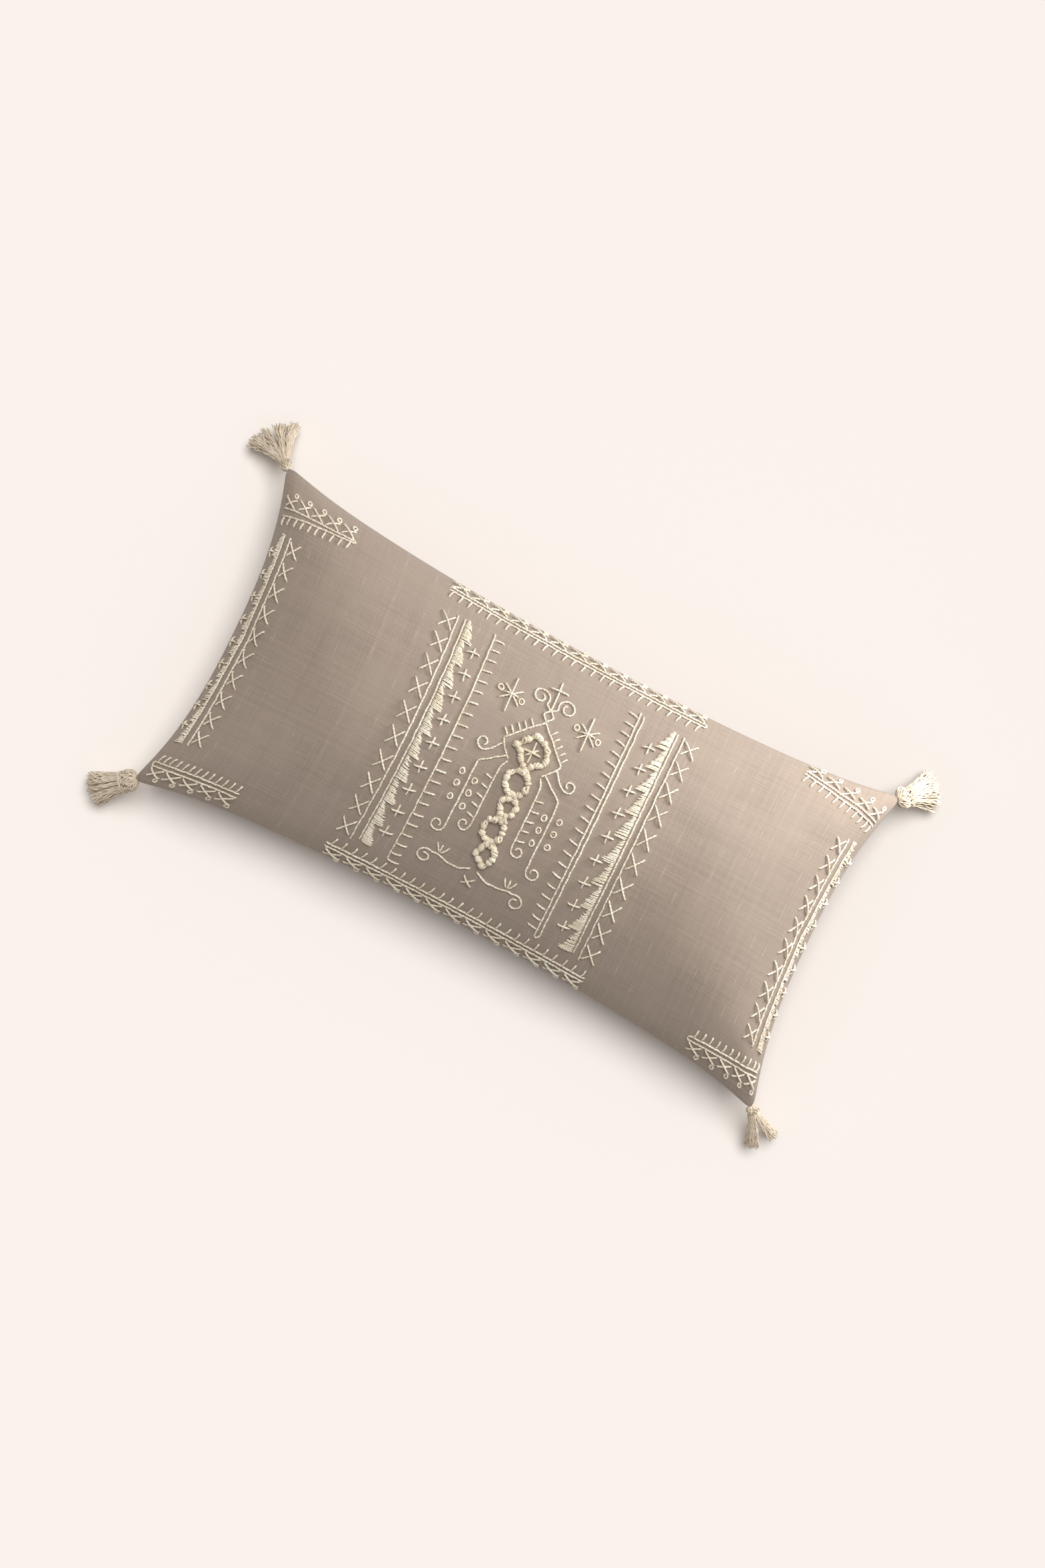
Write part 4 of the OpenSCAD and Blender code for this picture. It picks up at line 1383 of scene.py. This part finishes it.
def binding(name, neck, start):
    """Thread wound tightly round the neck, with its last turn tucked in."""
    at = np.linspace(0, 1, 150)
    turn = 2 * math.pi * 3.2 * at
    radius = neck + 0.6 + 0.2 * np.sin(math.pi * at)
    for from_end in (at, 1 - at):
        radius = radius - 1.2 * np.exp(-((from_end / 0.02) ** 2))
    y, z = radius * np.cos(turn), FLATTENED * radius * np.sin(turn)
    points = np.stack([start + 1.2 + 2.2 * at, y, z], axis=1)
    strands = [(carried(tassel_frame(name), points), 0.5 * MM, turn * 1.4, False)]
    cotton_piece(name, "_winding", strands, "_binding")


# %% Hanging loops and bars
LOOP_RADIUS, LOOP_LONG = 1.5, 1.8
STAPLE = [(-7, 1.3), (-3, 1.3), (0, 1.3), (1.7, 1.3), (2.25, 1.05), (BAR_OUT, 0.5), (BAR_OUT, 0)]


def loops(name):
    """The hanging loop, and the bar of thread that it runs round."""
    turn = np.linspace(0, math.pi, 12)
    x, y = LOOP_RADIUS * np.sin(turn), LOOP_RADIUS * np.cos(turn)
    far = np.stack([BAR_OUT + LOOP_LONG + x, y, 0 * turn], axis=1)
    near = np.stack([BAR_OUT - x, -y, 0 * turn], axis=1)
    ring = np.concatenate([far, near])
    twist = np.linspace(0, 6 * math.pi, len(ring), endpoint=False)
    strands = [(carried(corner_frame(name), ring), 0.5 * MM, twist, True)]
    body = name + "_loop"
    piece = sweep(name + "_hanging_loop", strands, two_ply, thread_material, body)
    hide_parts(name + "_loop")
    half = np.array([(x, 0, z) for x, z in STAPLE])
    staple = np.concatenate([half, half[-2::-1] * [1, 1, -1]])
    twist = np.arange(len(staple)) * 0.8
    strands = [(carried(corner_frame(name), staple), 0.5 * MM, twist, False)]
    piece = sweep(name + "_bar", strands, two_ply, thread_material, "cover")
    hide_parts(name + "_anchor")


for name, shape in TASSELS.items():
    head(name, shape["neck"], shape["start"])
    binding(name, shape["neck"], shape["start"])
    loops(name)

# %% [markdown]
# ## The zip
# The tapes, slider, pull and stops keep their shapes from the frame. The teeth of a light zip
# are one coil of nylon on each tape, and two rows of machine stitches hold each tape.

# %% Coils
ZIP_PLACE = Matrix.Translation((0, ZIP_LINE, ZIP_LEVEL))
ZIP_FRAME = ZIP_PLACE @ Matrix.Rotation(math.pi - ZIP_TILT, 4, "X")
COIL_TURNS, COIL_POINTS = 222, 9


def coil(node, side):
    """A nylon coil along one tape, flattened as it is sewn."""
    at = np.linspace(0, 1, COIL_TURNS * COIL_POINTS + 1)
    turn = 2 * math.pi * COIL_TURNS * at + (0 if side > 0 else math.pi)
    length = 2 * (ZIP_HALF / MM - 4)
    x = -length / 2 + length * at
    y = side * (0.98 + 1.12 * np.cos(turn))
    z = -0.5 + 0.5 * np.sin(turn)
    wound = carried(ZIP_FRAME, np.stack([x, y, z], axis=1))
    strands = [(wound, 0.26 * MM, 0.0, False)]
    piece = sweep(node + "_coil", strands, round_cord, nylon_material, "cover")
    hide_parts(node)


coil("zip_teeth_upper", -1)
coil("zip_teeth_lower", 1)

# %% Machine stitches beside the zip
SEAM_OFFSET, SEAM_STITCH, SEAM_PITCH = 6.2, 2.7, 3.1
SEAM_RISE = np.array([-0.2, 0.2, 0.28, 0.28, 0.2, -0.2])
seam_stitches = []


def machine_stitch(begin, fixed, along_zip):
    """One stitch from begin, along the zip or across it, at a fixed place the other way."""
    moving = np.linspace(begin, begin + SEAM_STITCH, len(SEAM_RISE))
    still = np.full(len(SEAM_RISE), fixed)
    plan = (moving, still) if along_zip else (still, moving)
    points = np.stack([*plan, SEAM_RISE], axis=1)
    seam_stitches.append((carried(ZIP_FRAME, points), 0.22 * MM, 0.0, False))


for offset in (-SEAM_OFFSET, SEAM_OFFSET):
    x = -ZIP_HALF / MM - 5
    while x < ZIP_HALF / MM + 2:
        machine_stitch(x, offset, True)
        x += SEAM_PITCH
for end in (-1, 1):
    for k in range(4):
        machine_stitch(-SEAM_OFFSET + SEAM_PITCH * k, end * (ZIP_HALF / MM + 4.5), False)
sweep("zip_seam_stitches", seam_stitches, round_cord, thread_material, "cover")

# %% Finishes for the frame's own zip pieces
tapes = ("zip_tape_upper", "zip_tape_lower")
for node in tapes + ("zip_stop_closed", "zip_stop_open", "zip_slider", "zip_pull"):
    shown = frame["nodes"][node]
    shown.data.materials.clear()
    shown.data.materials.append(tape_material if node in tapes else metal_material)
print("zip finished")

for section in (two_ply, round_cord):
    bpy.data.objects.remove(section)

# %% [markdown]

# %% [markdown]
# ## Floor, light and camera
# A pale plain floor, one high wide light, a small near lamp that a flag keeps off the floor, and
# a gentle light from all round, as in a studio. The camera looks almost straight down through a
# long lens, and is rolled so that the pillow lies across the picture from corner to corner.

# %% The floor
def floor_material():
    material, tree, shader = new_material("pale floor")
    cloudy = mottle(tree, object_place(tree), 1.2, 1.0)
    pale = mix_colour(tree, cloudy, colour(249, 242, 236), colour(251, 244, 238))
    feed(tree, shader.inputs, {"Base Color": pale, "Roughness": 0.9, "Specular IOR Level": 0.1})
    return material


floor_form = bmesh.new()
bmesh.ops.create_grid(floor_form, x_segments=2, y_segments=2, size=6)
floor_mesh = bpy.data.meshes.new("floor")
floor_form.to_mesh(floor_mesh)
floor_form.free()
floor_mesh.materials.append(floor_material())
add_object("floor", floor_mesh)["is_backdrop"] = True

# %% Lights
LAMP_WHITE = (1.0, 0.993, 0.985)


def new_lamp(name, kind, strength, way):
    """A lamp and its settings; way points from what it lights back to the lamp."""
    data = bpy.data.lights.new(name, kind)
    data.energy = strength
    data.color = LAMP_WHITE
    lamp = add_object(name, data)
    lamp.rotation_euler = way.to_track_quat("Z", "Y").to_euler()
    return lamp, data


def far_light(name, toward, height, strength, softness):
    """A sun: even over the whole floor, from a compass direction and a height in degrees."""
    flat_way = math.cos(math.radians(height))
    way = Vector((toward[0] * flat_way, toward[1] * flat_way, math.sin(math.radians(height))))
    _, data = new_lamp(name, "SUN", strength, way)
    data.angle = math.radians(softness)


def near_lamp(name, place, aimed_at, power, size):
    """A round soft lamp near the pillow, with a flag that keeps it off the floor."""
    lamp, data = new_lamp(name, "AREA", power, Vector(place) - Vector(aimed_at))
    data.shape = "DISK"
    data.size = size
    lamp.location = place
    lit = bpy.data.collections.new("lit by " + name)
    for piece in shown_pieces():
        lit.objects.link(piece)
    lamp.light_linking.receiver_collection = lit


far_light("high window", toward=(0, 1), height=73, strength=2.33, softness=42)
near_lamp("near lamp", (0.5, 0.5, 0.35), aimed_at=(0.1, 0, 0.06), power=5.4, size=0.35)
world = bpy.data.worlds.new("studio")
bpy.context.scene.world = world
world.use_nodes = True
background = world.node_tree.nodes["Background"]
background.inputs["Color"].default_value = (1.0, 0.99, 0.98, 1)
background.inputs["Strength"].default_value = 0.29
bpy.context.scene.view_settings.view_transform = "Standard"
bpy.context.scene.view_settings.look = "None"

# %% Camera
ROLL = math.radians(28.1)
TILT = math.radians(4.5)
DISTANCE = 2.7
FIELD_HIGH = 1.328
up = Vector((-math.sin(ROLL), math.cos(ROLL), 0))
lean = Vector((-1, -1, 0)).normalized() * math.sin(TILT)
away = Vector((lean.x, lean.y, math.cos(TILT)))
aim = Vector((0, 0, 0.06)) + up * 0.0037
camera_data = bpy.data.cameras.new("camera")
camera_data.lens = 36 * DISTANCE / FIELD_HIGH
camera_data.sensor_width = 36
camera_data.clip_end = 50
camera = add_object("camera", camera_data)
across = up.cross(away).normalized()
upright = away.cross(across)
facing = Matrix((across, upright, away)).transposed().to_4x4()
camera.matrix_world = Matrix.Translation(aim + away * DISTANCE) @ facing
bpy.context.scene.camera = camera
print("camera", [round(v, 3) for v in camera.location], "lens", round(camera_data.lens, 1))
